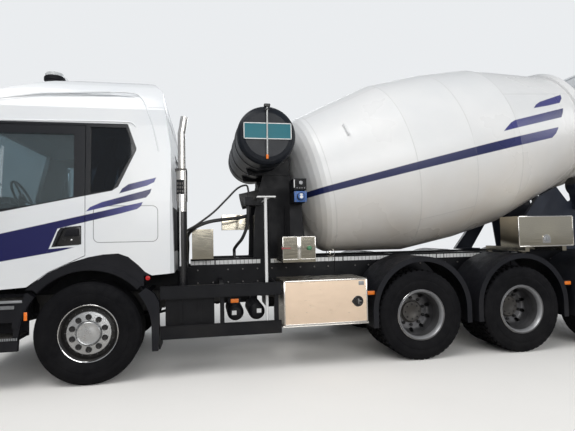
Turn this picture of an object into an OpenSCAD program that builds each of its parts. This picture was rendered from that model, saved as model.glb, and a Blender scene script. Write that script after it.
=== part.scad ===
// Concrete mixer truck: an eight by four chassis with a tilting cab, a sloping mixer drum on a
// gearbox and two support rollers, a charge hopper, and a chute that swings, tilts and folds.
// +X points forward, +Y to the driver's left, +Z up. Stations along the truck, called u,
// count rearward from the front axle. The origin is on the ground below the middle of the truck.

/* [Chassis] */
// Front axle to first drive axle
wheelbase = 3710; // [3600:10:4400]
// First drive axle to second drive axle
bogie_spacing = 1350; // [1300:10:1450]
// Second drive axle to the tag axle
tag_spacing = 1350; // [1300:10:1450]
// Front axle to the bumper face
front_overhang = 1440; // [1400:10:1600]
// Tag axle to the end of the frame
rear_overhang = 780; // [740:10:1200]
// Overall width of the body
body_w = 2490; // [2440:10:2550]
// Outer width across the frame rails
frame_w = 790; // [760:10:860]
// Height of a frame rail
rail_h = 270; // [220:5:300]
// Width of a frame rail's flange
rail_flange = 85; // [70:1:100]
// Plate thickness of a frame rail
rail_t = 10; // [7:0.5:14]
// Ground to the top of the frame rails
frame_top = 1120; // [1060:5:1200]
// Height of the mixer's subframe rails
subframe_h = 100; // [80:5:160]

/* [Wheels] */
// Radius of every tyre
tyre_r = 530; // [500:1:545]
// Section width of a front or tag tyre
single_w = 385; // [315:1:395]
// Section width of each twin tyre
twin_w = 300; // [285:1:320]
// Distance between the middles of two twin tyres
twin_pitch = 350; // [335:1:370]
// Radius at which the tyre bead sits on the rim
bead_r = 285.7; // [280:0.1:290]
// Kingpin inboard of the front tyre's middle
kingpin_offset = 123; // [100:1:150]
// Largest steering angle of the front wheels
steer_max = 35; // [25:1:40]

/* [Cab] */
// Front axle to the cab's rear wall
cab_rear = 866; // [800:2:960]
// Ground to the top of the cab roof
cab_top = 3215; // [3100:5:3400]
// Thickness of cab walls and doors
cab_wall = 60; // [40:1:70]
// Ground to the cab floor
cab_floor = 1340; // [1320:5:1400]
// Gap round each door
door_gap = 6; // [5:0.5:10]
// Thickness of the window glass
glass_t = 6; // [4:0.5:8]

/* [Drum] */
// Slope of the drum's axis
drum_slope = 12.78; // [10:0.01:16]
// Largest outer radius of the drum
drum_r = 1221; // [1100:1:1230]
// Wall thickness of the drum
drum_wall = 6; // [4:0.5:8]
// Outer radius of the roller ring
ring_r = 905; // [880:1:920]
// Width of the roller ring
ring_w = 110; // [80:1:140]
// Radius of a support roller
roller_r = 140; // [120:1:160]
// Angle of each support roller from straight down
roller_angle = 28; // [22:1:34]
// Depth of the mixing blades
blade_h = 330; // [200:5:380]

/* [Tanks and boxes] */
// Radius of the water tank
water_r = 353; // [300:1:380]
// Length of the water tank
water_len = 2100; // [1800:10:2300]
// Length of the steel toolbox
toolbox_len = 980; // [700:10:1000]
// Height of the steel toolbox
toolbox_h = 498; // [400:2:520]

/* [Chute] */
// Radius of the chute trough
chute_r = 280; // [240:5:300]
// Length of the main chute below its pins
chute_len = 1250; // [1000:10:1400]
// Length of the folding chute
chute_ext_len = 1000; // [800:10:1100]
// Slope of the stowed chute below level
chute_slope = 45; // [40:1:50]

/* [Hidden] */
$fn = 48;
hub_z = tyre_r;
subframe_top = frame_top + subframe_h;
rail_bottom = frame_top - rail_h;
rail_in = frame_w/2 - rail_flange;
half_w = body_w/2;
axle1 = 0;
axle2 = wheelbase;
axle3 = axle2 + bogie_spacing;
axle4 = axle3 + tag_spacing;
frame_end = axle4 + rear_overhang;
chute_pivot_u = frame_end + 220;
chute_pivot_z = 1900;
overall_length = front_overhang + chute_pivot_u + chute_len*cos(chute_slope)
  + (chute_r + 30)*sin(chute_slope);
front_x = overall_length/2 - front_overhang;
single_y = half_w - single_w/2;
twin_out_y = half_w - twin_w/2;
twin_in_y = twin_out_y - twin_pitch;
kingpin_y = single_y - kingpin_offset;
pin_gap = 0.5;
seat_gap = 0.3;
tilt_u = -1340;
tilt_z = 1010;
bumper_top = 960;
// Drum axis: station 0 and the stations of its welded seams, as [distance, outer radius]
drum_u = axle2 + 8;
drum_z = 2440;
drum_front = -1043;
ring_s = 2790;
ring_seat_r = 872;
drum_seams = [[drum_front, 969], [0, drum_r - 13], [790, drum_r], [1488, drum_r - 47],
  [ring_s - 62, ring_seat_r], [ring_s + 68, ring_seat_r], [3420, 560]];
drum_head = 318;
flange_r = 260;
mouth_s = 3420;
gearbox_s = drum_front - drum_head;

function at(u) = front_x - u;
function drum_point_u(s) = drum_u + s*cos(drum_slope);
function drum_point_z(s) = drum_z + s*sin(drum_slope);
function edge_normal(a, b) = [a.y - b.y, b.x - a.x]/norm(b - a);
// Outline moved inwards by d on every side, for points that run anticlockwise
function inset(p, d) = [for (i = [0:len(p) - 1])
  let (a = p[(i + len(p) - 1) % len(p)], b = p[i], c = p[(i + 1) % len(p)],
    n1 = edge_normal(a, b), n2 = edge_normal(b, c)) b + d*(n1 + n2)/(1 + n1*n2)];

module box(u0, u1, y0, y1, z0, z1) {
  translate([at(u1), y0, z0]) cube([u1 - u0, y1 - y0, z1 - z0]);
}
module both_sides() {
  children();
  mirror([0, 1, 0]) children();
}
module cyl_y(u, z, r, y0, y1) {
  translate([at(u), y0, z]) rotate([-90, 0, 0]) cylinder(r = r, h = y1 - y0);
}
module cyl_z(u, y, r, z0, z1) {
  translate([at(u), y, z0]) cylinder(r = r, h = z1 - z0);
}
// Tube or bar from one point to another, each as [u, y, z]
module bar(a, b, r) {
  p = [at(a.x), a.y, a.z];
  d = [at(b.x), b.y, b.z] - p;
  translate(p) rotate([0, acos(d.z/norm(d)), atan2(d.y, d.x)]) cylinder(r = r, h = norm(d));
}
// Plate with its outline as [u, z] points, between two values of y
module side_plate(points, y0, y1) {
  translate([front_x, y1, 0]) rotate([90, 0, 0])
    linear_extrude(y1 - y0) mirror([1, 0]) polygon(points);
}
// Places children whose z axis is the drum's axis, at a distance along it
module on_drum(s) {
  translate([at(drum_point_u(s)), 0, drum_point_z(s)]) rotate([0, -90 + drum_slope, 0]) children();
}
// Places children whose z axis points outwards to the left at a wheel's middle
module wheel_place(u, y) {
  translate([at(u), y, hub_z]) rotate([-90, 0, 0]) children();
}
module rail(z0, h, flange, t, u0, u1) {
  y = frame_w/2;
  difference() {
    box(u0, u1, y - flange, y, z0, z0 + h);
    box(u0 - 1, u1 + 1, y - flange - 1, y - t, z0 + t, z0 + h - t);
  }
}

// Frame
cross_stations = [[-1150, 200], [axle2 - 2290, 180], [axle2 - 1510, 200], [axle2 - 610, 180],
  [axle2 + 675, 220], [axle3 + 675, 220], [frame_end - 290, 200]];
module frame_rails() {
  color("#1b1c1e") {
    both_sides() rail(rail_bottom, rail_h, rail_flange, rail_t, -1200, frame_end);
    for (c = cross_stations)
      box(c[0], c[0] + 12, -frame_w/2 + rail_t, frame_w/2 - rail_t, frame_top - 10 - c[1],
        frame_top - rail_t);
    box(frame_end, frame_end + 14, -frame_w/2, frame_w/2, rail_bottom, frame_top);
    both_sides() tilt_bracket();
  }
}
module tilt_bracket() {
  difference() {
    side_plate([[-1000, rail_bottom], [-1200, rail_bottom], [-1385, tilt_z - 45], [-1385, tilt_z + 35],
      [-1295, tilt_z + 35], [-1200, frame_top - 20], [-1000, frame_top - 20]], frame_w/2, frame_w/2 + 25);
    cyl_y(tilt_u, tilt_z, 25 + pin_gap, frame_w/2 - 1, frame_w/2 + 26);
  }
}
module subframe() {
  color("#1b1c1e") {
    both_sides() box(1010, frame_end, frame_w/2 - rail_flange, frame_w/2, frame_top, subframe_top);
    for (u = [axle2 - 2110, axle2 - 1010, axle2 + 190, axle2 + 1390, frame_end - 890])
      box(u, u + 60, -rail_in, rail_in, frame_top, subframe_top - 20);
    both_sides() for (u = [1200, axle2 - 810, axle2 + 675, axle2 + 1850, frame_end - 390])
      box(u, u + 120, frame_w/2, frame_w/2 + 12, frame_top - 120, subframe_top - 20);
  }
}

// Axles and springs
spring_y = rail_in + 45;
module leaf(u, half, rise, z, t) {
  // An arc through both ends, with its middle lower by rise
  r = (half*half + rise*rise)/(2*rise);
  a = asin(half/r);
  translate([at(u), spring_y - 40, z + r]) rotate([-90, 0, 0]) rotate([0, 0, 90 - a])
    rotate_extrude(angle = 2*a) translate([r, 0]) square([t, 80]);
}
module front_axle() {
  color("#202124") {
    side = kingpin_y - 70;
    difference() {
      union() {
        box(-45, 45, -side, side, hub_z - 130, hub_z - 40);
        both_sides() {
          box(-45, 45, side - 90, side, hub_z - 130, hub_z + 60);
          box(-45, 45, side - 20, kingpin_y, hub_z - 70, hub_z + 60);
          cyl_z(0, kingpin_y, 62, hub_z - 80, hub_z + 80);
        }
      }
      both_sides() cyl_z(0, kingpin_y, 26 + pin_gap, hub_z - 140, hub_z + 140);
    }
    both_sides() {
      leaf(0, 850, 130, hub_z - 16, 22);
      box(-80, 80, spring_y - 45, spring_y + 45, hub_z - 40, hub_z - 16);
      for (u = [-880, 820]) difference() {
        box(u, u + 60, spring_y - 45, spring_y + 45, hub_z + 60, rail_bottom);
        box(u - 1, u + 61, spring_y - 36, spring_y + 36, hub_z + 59, hub_z + 100);
      }
    }
  }
}
module drive_axle(u) {
  cyl_y(u, hub_z, 62, -twin_in_y + 60, twin_in_y - 60);
  both_sides() cyl_y(u, hub_z, 44, twin_in_y - 60, twin_out_y + 60);
  translate([at(u), 0, hub_z]) rotate([0, 90, 0]) cylinder(r = 190, h = 230, center = true);
  translate([at(u), 0, hub_z]) rotate([0, 90, 0]) cylinder(r1 = 150, r2 = 70, h = 330);
}
module rear_axles() {
  color("#202124") {
    for (u = [axle2, axle3]) {
      drive_axle(u);
      both_sides() {
        box(u - 60, u + 60, spring_y - 45, spring_y + 45, hub_z + 55, hub_z + 130);
      }
    }
    mid = (axle2 + axle3)/2;
    both_sides() {
      side_plate([[axle2 - 140, hub_z + 130], [axle3 + 140, hub_z + 130], [axle3 + 100, hub_z + 165],
        [mid + 180, hub_z + 230], [mid - 180, hub_z + 230], [axle2 - 100, hub_z + 165]],
        spring_y - 40, spring_y + 40);
      box(mid - 90, mid + 90, spring_y - 45, spring_y + 45, hub_z + 230, rail_bottom);
    }
    tag_axle();
  }
}
module tag_axle() {
  side = kingpin_y - 70;
  difference() {
    union() {
      box(axle4 - 55, axle4 + 55, -side, side, hub_z - 60, hub_z + 50);
      both_sides() {
        box(axle4 - 45, axle4 + 45, side - 20, kingpin_y, hub_z - 60, hub_z + 50);
        cyl_z(axle4, kingpin_y, 62, hub_z - 80, hub_z + 80);
      }
    }
    both_sides() cyl_z(axle4, kingpin_y, 26 + pin_gap, hub_z - 140, hub_z + 140);
  }
  both_sides() {
    cyl_z(axle4, spring_y, 120, hub_z + 50, rail_bottom);
    box(axle4 - 560, axle4 - 55, spring_y - 35, spring_y + 35, hub_z - 20, hub_z + 30);
    box(axle4 - 600, axle4 - 530, spring_y - 35, spring_y + 35, hub_z - 40, rail_bottom);
  }
}
module powertrain() {
  color("#5a5d60") {
    box(-780, 620, -290, 290, hub_z + 60, cab_floor - 50);
    box(620, axle2 - 2310, -200, 200, hub_z + 120, frame_top - 40);
    // Sump, bell housing and fan ring of the plain engine block
    box(-700, 300, -180, 180, hub_z + 10, hub_z + 60);
    box(560, 680, -260, 260, hub_z + 80, frame_top - 10);
    translate([at(-780), 0, hub_z + 420]) rotate([0, 90, 0]) cylinder(r = 270, h = 60);
    bar([axle2 - 2310, 0, 800], [axle2 - 338, 0, hub_z], 55);
    bar([axle2 + 115.3, 0, hub_z], [axle3 - 330.3, 0, hub_z], 50);
  }
}

// Wheels
module tyre(w) {
  // Section from bead to bead over a flat tread with rounded shoulders
  b = w*0.38 - seat_gap;
  side = [[bead_r, b], [bead_r + 14, b + 4], [bead_r + 16, b + 18], [tyre_r - 130, w*0.5],
    [tyre_r - 60, w*0.485], [tyre_r - 18, w*0.44], [tyre_r, w*0.37]];
  n = len(side);
  rotate_extrude($fn = 96) polygon(concat([for (p = side) [p.x, -p.y]], [for (i = [1:n]) side[n - i]]));
}
nave_t = 12;
module rim_band(w) {
  b = w*0.38;
  r = bead_r - 0.2;
  rotate_extrude($fn = 96) polygon([[r + 12.8, -b - 14], [r + 12.8, -b - 4], [r, -b], [r, b],
    [r + 12.8, b + 4], [r + 12.8, b + 14], [r + 3, b + 14], [r - 11, b - 10], [r - 11, -b + 10],
    [r + 3, -b - 14]]);
}
// Disc from the band at z = band to the nave at z = nave, with a hub barrel from z0 to z1
module disc(band, nave, z0, z1, bore) {
  r = bead_r - 5;
  difference() {
    rotate_extrude($fn = 96) polygon([[bore, z0], [118, z0], [118, nave - nave_t], [218, nave - nave_t],
      [r, band - nave_t], [r, band + nave_t], [218, nave], [126, nave], [118, z1], [bore, z1]]);
    for (i = [0:9]) rotate([0, 0, 36*i]) translate([246, 0, -400]) cylinder(r = 26, h = 800, $fn = 24);
  }
}
module single_tyre(u, side) {
  wheel_place(u, side*single_y) tyre(single_w);
}
module single_rim(u, side) {
  wheel_place(u, side*single_y) mirror([0, 0, side < 0 ? 1 : 0]) {
    rim_band(single_w);
    disc(60, 118, -20, 150, 46 + pin_gap);
    translate([0, 0, 140]) cylinder(r = 100, h = 22);
  }
}
module twin_tyres(u, side) {
  for (y = [twin_out_y, twin_in_y]) wheel_place(u, side*y) tyre(twin_w);
}
module twin_rims(u, side) {
  for (y = [twin_out_y, twin_in_y]) wheel_place(u, side*y) rim_band(twin_w);
  wheel_place(u, side*(twin_out_y - twin_pitch/2)) mirror([0, 0, side < 0 ? 1 : 0]) {
    disc(twin_pitch/2 - 80, nave_t, -60, 190, 44 + pin_gap);
    mirror([0, 0, 1]) disc(twin_pitch/2 - 80, nave_t, -30, 60, 44 + pin_gap);
    translate([0, 0, 250]) cylinder(r = 100, h = 20);
    translate([0, 0, 180]) difference() {
      cylinder(r = 118, h = 71);
      translate([0, 0, -1]) cylinder(r = 60, h = 72);
    }
  }
}
// Steering knuckle: two ears round the axle's eye, the kingpin and the spindle
module knuckle(u, side) {
  color("#2a2b2e") mirror([0, side < 0 ? 1 : 0, 0]) {
    for (z = [hub_z + 80 + 5, hub_z - 80 - 35]) cyl_z(u, kingpin_y, 62, z, z + 30);
    cyl_z(u, kingpin_y, 26, hub_z - 110, hub_z + 110);
    box(u - 62, u + 62, kingpin_y + 62 + 5, kingpin_y + 62 + 30, hub_z - 115, hub_z + 115);
    for (z = [hub_z + 85, hub_z - 115]) box(u - 55, u + 55, kingpin_y, kingpin_y + 70, z, z + 30);
    cyl_y(u, hub_z, 46, kingpin_y + 80, single_y + 100);
  }
}

// Cab. Outlines run anticlockwise: the side as [x, z] with x forward from the front axle,
// the front as [y, z], and the plan as [x, y].
cab_side = [[-cab_rear, 1125], [-620, 1107], [1085, 1000], [1100, 1090], [1428, 1090], [1440, 1500],
  [1400, 1790], [1130, 2800], [1060, 2960], [894, 3090], [600, cab_top - 20], [233, cab_top],
  [-600, cab_top], [-690, cab_top - 22], [-745, cab_top - 80],
  [97 - cab_rear, 2960], [27 - cab_rear, 2470]];
cab_front = [[-half_w + 5, 900], [half_w - 5, 900], [half_w - 5, 1900], [half_w - 42, 2720],
  [half_w - 62, 2900], [half_w - 110, 3040], [half_w - 220, 3140], [half_w - 420, 3200],
  [half_w - 640, cab_top + 1], [-half_w + 640, cab_top + 1], [-half_w + 420, 3200],
  [-half_w + 220, 3140], [-half_w + 110, 3040], [-half_w + 62, 2900], [-half_w + 42, 2720],
  [-half_w + 5, 1900]];
cab_plan_half = [[-cab_rear + 40, half_w - 5], [-cab_rear, half_w - 45]];
cab_nose = [[1050, half_w - 5], [1200, half_w - 30], [1310, half_w - 90], [1385, half_w - 190],
  [1425, half_w - 340], [1440, half_w - 560]];
function flip_y(p) = [for (i = [len(p) - 1:-1:0]) [p[i].x, -p[i].y]];
cab_plan = concat([for (p = cab_nose) [p.x, -p.y]], [for (i = [len(cab_nose) - 1:-1:0]) cab_nose[i]],
  cab_plan_half, flip_y(cab_plan_half));

module plan_prism(d, z0, z1) {
  translate([front_x, 0, z0]) linear_extrude(z1 - z0) polygon(inset(cab_plan, d));
}
// The cab's closed body, moved inwards by d
module cab_body(d) {
  intersection() {
    translate([front_x, 1400, 0]) rotate([90, 0, 0]) linear_extrude(2800) polygon(inset(cab_side, d));
    translate([front_x - 2000, 0, 0]) rotate([90, 0, 90]) linear_extrude(4000) polygon(inset(cab_front, d));
    plan_prism(d, 900, cab_top + 10);
  }
}
module cab_skin() {
  difference() {
    cab_body(0);
    cab_body(cab_wall);
    plan_prism(cab_wall, 900, cab_floor);
  }
}
// Outlines on the cab's side, as [u, z]
arch_outline = [[-640, 900], [-600, 985], [-587, 1010], [-380, 1170], [-160, 1270], [6, 1318],
  [150, 1342], [300, 1349], [400, 1310], [500, 1222], [570, 1147], [640, 1107], [700, 1000], [700, 900]];
door_outline = [[-30, 1337], [-160, 1278], [-380, 1178], [-600, 1020], [-620, 1000], [-1090, 1000],
  [-1090, 1790], [-1010, 2300], [-945, 2700], [-30, 2700]];
window_outline = [[-140, 1948], [-500, 1868], [-1045, 1795], [-985, 2250], [-905, 2610], [-140, 2610]];
quarter_outline = [[20, 1985], [240, 2016], [463, 2444], [378, 2690], [20, 2690]];
arch_r = tyre_r + 130;
// Outline of a band round the front wheel's arch, from angle a0 to a1 behind straight back
function arc_points(r, a0, a1) = [for (k = [0:16]) let (a = a0 + (a1 - a0)*k/16)
  [r*cos(a), hub_z + r*sin(a)]];
function arch_band(r0, r1, a0, a1) = concat(arc_points(r0, a0, a1), arc_points(r1, a1, a0));
function rounded(u0, u1, z0, z1, r) = [for (c = [[u1 - r, z1 - r, 0], [u0 + r, z1 - r, 90],
  [u0 + r, z0 + r, 180], [u1 - r, z0 + r, 270]]) for (k = [0:6])
  [c[0] + r*cos(c[2] + 15*k), c[1] + r*sin(c[2] + 15*k)]];
module door_prism(d) {
  side_plate([for (p = inset([for (q = door_outline) [-q.x, q.y]], d)) [-p.x, p.y]],
    half_w - 200, half_w + 100);
}
module windscreen_prism() {
  translate([front_x + 700, 0, 0]) rotate([90, 0, 90]) linear_extrude(1000)
    polygon([[-1075, 1840], [1075, 1840], [1010, 2740], [-1010, 2740]]);
}
module rear_window_prism() {
  box(cab_rear - 200, cab_rear + 50, -420, 420, 2050, 2550);
}
module quarter_prism() {
  both_sides() side_plate(quarter_outline, half_w - 200, half_w + 100);
}
// Roof beacon on its stem, beside a low pod
beacon_u = -506;
beacon_y = 650;
beacon_z = cab_top + 120;
module cab_shell() {
  color("white") {
    side_plate([[-610, cab_top - 35], [-325, cab_top - 35], [-345, beacon_z], [-425, beacon_z + 108],
      [-580, beacon_z + 108], [-610, beacon_z + 70]], beacon_y - 210, beacon_y - 125);
    difference() {
      cab_skin();
      both_sides() {
        side_plate(arch_outline, 800, half_w + 100);
        door_prism(-door_gap);
      }
      windscreen_prism();
      quarter_prism();
      rear_window_prism();
      box(-900, cab_rear + 1, -half_w, half_w, 0, 1100);
      both_sides() box(-1700, -1080, -half_w, half_w, 0, 1091);
      // Groove round the lid in the cab's side
      both_sides() difference() {
        side_plate(rounded(52, 705, 1464, 1852, 60), half_w - 8, half_w + 10);
        side_plate(rounded(59, 698, 1471, 1845, 53), half_w - 9, half_w + 11);
      }
    }
    // Rain rail over the doors
    both_sides() side_plate([[-873, 2974], [-491, 3041], [204, 3084], [204, 3096], [-491, 3053],
      [-873, 2986]], half_w - 120, half_w - 88);
    difference() {
      plan_prism(cab_wall - 1, cab_floor - 40, cab_floor);
      both_sides() box(-1090 - door_gap, -30 + door_gap, half_w - cab_wall - 16, half_w, 0, cab_floor + 1);
    }
    both_sides() tilt_lug();
  }
}
module tilt_lug() {
  y0 = frame_w/2 + 25 + 5;
  difference() {
    side_plate([[tilt_u - 42, tilt_z - 30], [tilt_u - 42, tilt_z + 120], [tilt_u + 150, cab_floor - 41],
      [tilt_u + 260, cab_floor - 41], [tilt_u + 42, tilt_z - 30]], y0, y0 + 30);
    cyl_y(tilt_u, tilt_z, 25 + pin_gap, y0 - 1, y0 + 31);
  }
}
module cab_glass() {
  color("#22282c") {
    intersection() {
      difference() {
        cab_body(14);
        cab_body(14 + glass_t);
      }
      union() {
        windscreen_prism();
        quarter_prism();
        rear_window_prism();
      }
    }
  }
}
module cab_trim() {
  color("#1f2022") {
    both_sides() difference() {
      intersection() {
        side_plate(arch_outline, half_w - 63, half_w - 5);
        box(-640, 700, 0, half_w, 1000, 1400);
      }
      cyl_y(0, hub_z, arch_r, 800, half_w + 10);
      box(555, 800, 800, half_w + 10, 900, 1107);
    }
    // Rounded wing over the front wheel
    both_sides() {
      side_plate(arch_band(650, 728, 42, 138), half_w - 95, half_w - 8);
      side_plate(arch_band(658, 720, 42, 138), half_w - 95, half_w);
      side_plate(arch_band(650, 657, 56, 138), 840, half_w - 90);
    }
    difference() {
      union() {
        // Slats of the grille on the front panel
        for (z = [1160:75:1610]) translate([front_x + 1390, -800, z]) cube([62, 1600, 50]);
        // Frame of the grille and the wipers' cowl
        for (s = [-1, 1]) translate([front_x + 1390, s*815 - 15, 1140]) cube([64, 30, 540]);
        translate([front_x + 1330, -980, 1740]) cube([110, 1960, 60]);
        // Stem of the roof beacon
        cyl_z(beacon_u, beacon_y, 34, beacon_z - 260, beacon_z);
      }
      cab_body(0);
    }
    // Beacon: a round base and a low dome
    translate([at(beacon_u), beacon_y, beacon_z]) rotate_extrude(angle = 360, $fn = 48)
      polygon([[0, 0], [96, 0], [110, 8], [110, 52], [98, 58], [98, 84], [88, 98], [60, 106], [0, 106]]);
  }
}
module seat(y) {
  box(-520, -40, y - 250, y + 250, cab_floor + 300, cab_floor + 420);
  side_plate([[-40, cab_floor + 420], [-140, cab_floor + 420], [60, cab_floor + 1120],
    [160, cab_floor + 1120], [-20, cab_floor + 300]], y - 230, y + 230);
  box(-420, -120, y - 160, y + 160, cab_floor, cab_floor + 300);
}
module cab_interior() {
  color("#3a3b3d") {
    both_sides() seat(640);
    side_plate([[-1180, cab_floor], [-1180, cab_floor + 560], [-1080, cab_floor + 620],
      [-880, cab_floor + 560], [-900, cab_floor + 420], [-1020, cab_floor + 380],
      [-1020, cab_floor]], 155 - half_w, half_w - 155);
    translate([at(-840), 640, cab_floor + 640]) rotate([0, -65, 0]) rotate_extrude() translate([210, 0])
      circle(r = 14, $fn = 16);
    bar([-960, 640, cab_floor + 520], [-840, 640, cab_floor + 640], 30);
    translate([at(-840), 640, cab_floor + 640]) rotate([0, -65, 0]) for (a = [0, 120, 240])
      rotate([0, 0, a]) translate([0, -18, -8]) cube([204, 36, 16]);
    intersection() {
      box(720, cab_rear, -1100, 1100, cab_floor, cab_floor + 500);
      cab_body(cab_wall);
    }
  }
}
module door(side) {
  color("white") mirror([0, side < 0 ? 1 : 0, 0]) difference() {
    intersection() {
      cab_skin();
      door_prism(0);
    }
    side_plate(window_outline, half_w - 200, half_w + 100);
    // Handle recess
    side_plate([[-322, 1437], [-245, 1610], [-215, 1637], [-64, 1645], [-64, 1455], [-90, 1440]],
      half_w - 35, half_w + 10);
  }
}
module door_glass(side) {
  color("#22282c") mirror([0, side < 0 ? 1 : 0, 0]) intersection() {
    difference() {
      cab_body(20);
      cab_body(20 + glass_t);
    }
    side_plate(window_outline, half_w - 200, half_w + 100);
  }
}
module mirror_unit(side) {
  color("#1f2022") mirror([0, side < 0 ? 1 : 0, 0]) {
    // Arms from the door's skin to the housing
    difference() {
      union() {
        bar([-1037, half_w - 40, 2000], [-1012, half_w + 110, 2000], 14);
        bar([-942, half_w - 60, 2560], [-985, half_w + 110, 2560], 14);
      }
      cab_body(-seat_gap);
    }
    for (y = [half_w + 135, half_w + 260]) for (u = [-1020, -990]) cyl_z(u, y, 40, 1940, 2620);
    box(-1060, -950, half_w + 135, half_w + 260, 1940, 2620);
    box(-1020, -990, half_w + 95, half_w + 300, 1940, 2620);
  }
}

// Front of the chassis
tow_y = -430;
module bumper() {
  color("#1f2022") {
    difference() {
      plan_prism(0, 330, bumper_top);
      plan_prism(90, 300, bumper_top + 10);
      box(-1090, 1000, -half_w - 10, half_w + 10, 300, 1000);
      both_sides() box(-1500, -1340, 640, 1010, 640, 820);
      both_sides() box(-1400, -1300, frame_w/2 - 15, frame_w/2 + 75, 935, 970);
      translate([at(-1300), tow_y, 590]) rotate([0, 90, 0]) cylinder(r = 42, h = 200);
    }
    difference() {
      union() {
        box(-1345, -1205, -frame_w/2 - 120, frame_w/2 + 120, 480, 700);
        translate([at(-1205), tow_y, 590]) rotate([0, 90, 0]) cylinder(r = 42, h = 230);
      }
      translate([at(-1300), tow_y, 590]) rotate([0, 90, 0]) cylinder(r = 18, h = 200);
    }
    both_sides() box(-1300, -1000, frame_w/2 - 60, frame_w/2, 480, rail_bottom);
    // Headlamps behind the face of the bumper
    intersection() {
      difference() {
        plan_prism(22, 636, 824);
        plan_prism(94, 630, 830);
      }
      both_sides() box(-1500, -1300, 636, 1014, 600, 900);
    }
    // Steps up to the door, behind a panel with two foot holes
    both_sides() {
      difference() {
        side_plate(concat([[-1100, 396], [-660, 396], [-650, 560]], arc_points(645, 172, 142),
          [[-574, 975], [-600, 962], [-612, 878], [-1100, 878]]), half_w - 45, half_w - 5);
        side_plate(rounded(-1060, -700, 533, 685, 20), half_w - 50, half_w);
        box(-1101, -612, half_w - 8, half_w, 698, 702);
      }
      side_plate(arch_band(658, 720, 142, 172), half_w - 95, half_w);
      box(-1100, -655, 985, half_w, 503, 533);
      box(-1100, -612, 985, half_w - 4, 875, 905);
      box(-1100, -650, 960, 990, 500, 943);
    }
  }
}
module guard(u, r, y0, y1, t, leg) {
  // Half round guard over a wheel with straight legs and an outer lip
  translate([at(u), 0, hub_z + 66]) {
    rotate([90, 0, 0]) rotate_extrude(angle = 180, $fn = 96) {
      translate([r - t, -y1]) square([t, y1 - y0]);
      translate([r - 62, -y1]) square([62, t]);
    }
    for (s = [-1, 1]) {
      translate([s > 0 ? r - t : -r, y0, -leg]) cube([t, y1 - y0, leg]);
      translate([s > 0 ? r - 62 : -r, y1 - t, -leg]) cube([62, t, leg]);
    }
    translate([0, frame_w/2, r - t - 14]) rotate([-90, 0, 0]) cylinder(r = 18, h = y1 - frame_w/2 - 20);
  }
}
module mudguards() {
  color("#1f2022") both_sides() {
    for (u = [axle2 + 24, axle3 + 24, axle4 + 24]) guard(u, 628, 600, half_w + 0, 8, 186);
    // Guard behind the front wheel, its flap and its arm
    g = arch_r + 10;
    translate([at(0), 0, hub_z]) rotate([90, 0, 0]) rotate([0, 0, 126]) rotate_extrude(angle = 34, $fn = 96)
      translate([g, -half_w + 100]) square([12, half_w - 100 - 850]);
    side_plate([[g*cos(20), hub_z + g*sin(20)], [(g + 12)*cos(20), hub_z + (g + 12)*sin(20)],
      [712, 310], [700, 310]], 850, half_w - 80);
    side_plate(concat(arc_points(632, 38, 5), [[634, 310], [697, 310], [711, 600], [709, 820]],
      [[660, 915], [728*cos(38), hub_z + 728*sin(38)]]), half_w - 80, half_w - 10);
    box(540, 580, frame_w/2, 1100, hub_z + 355, hub_z + 385);
  }
}
module side_guards() {
  color("#1b1c1e") both_sides() {
    for (z = [[840, 982], [415, 556]]) {
      box(718, tool_u0 - 25, 1170, 1204, z[0], z[1]);
      box(718, tool_u0 - 25, 1170, 1210, z[0] + 12, z[1] - 12);
    }
    for (u = [1351, tool_u0 - 96]) {
      box(u, u + 46, 1110, 1170, 415, 982);
      box(u, u + 46, frame_w/2, 1110, 925, 975);
    }
  }
}
module tanks() {
  color("#2a2b2e") {
    // Battery box and air tanks on the left, fuel tank on the right
    box(760, 1290, 560, 1080, 430, 860);
    box(750, 1300, 555, 1090, 860, 900);
    box(760, 1290, frame_w/2, 560, 860, 900);
    for (u = [900, 1105]) box(u, u + 45, 1080, 1092, 560, 860);
    for (u = [1528, 1771]) {
      translate([at(u), 500, 640]) rotate([-90, 0, 0]) rotate_extrude($fn = 48)
        polygon([[0, 0], [60, 6], [84, 30], [94, 60], [94, 520], [84, 550], [60, 574], [0, 580]]);
      box(u - 20, u + 20, frame_w/2, 560, 660, 900);
      box(u - 20, u + 20, 540, 560, 600, 700);
    }
  }
  color("#b9bcbe") {
    // Fuel tank with rounded edges, two straps and a filler cap
    intersection() {
      box(fuel_u0, fuel_u0 + 900, -1140, -500, 420, 960);
      union() {
        box(fuel_u0 - 1, fuel_u0 + 901, -1060, -580, 400, 980);
        box(fuel_u0 - 1, fuel_u0 + 901, -1150, -490, 500, 880);
        for (y = [-1060, -580]) for (z = [500, 880]) translate([at(fuel_u0 + 900), y, z]) rotate([0, 90, 0])
          cylinder(r = 80, h = 900);
      }
    }
    for (u = [fuel_u0 + 150, fuel_u0 + 700]) {
      box(u, u + 60, -500, -frame_w/2, 700, 960);
      box(u, u + 60, -1146, -500, 870, 966);
      box(u, u + 60, -1146, -1100, 520, 900);
    }
    cyl_z(fuel_u0 + 430, -1000, 55, 950, 985);
  }
}
tool_u0 = axle2 - 1655;
fuel_u0 = axle2 - 1610;
tool_z1 = 990;
tool_y0 = 700;
tool_y1 = 1225;
module toolbox() {
  u1 = tool_u0 + toolbox_len;
  z0 = tool_z1 - toolbox_h;
  color("#c9c5bb") {
    difference() {
      box(tool_u0, u1, tool_y0, tool_y1, z0, tool_z1);
      box(tool_u0 + 3, u1 - 3, tool_y0 + 3, tool_y1 + 10, z0 + 3, tool_z1 - 3);
    }
    for (u = [tool_u0 + 150, u1 - 210]) box(u, u + 60, frame_w/2, tool_y0, tool_z1 - 100, tool_z1 - 40);
  }
}
module toolbox_door() {
  u1 = tool_u0 + toolbox_len;
  z0 = tool_z1 - toolbox_h;
  color("#d5d1c6") box(tool_u0, u1, tool_y1 + seat_gap, tool_y1 + 14, z0, tool_z1);
}
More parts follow.
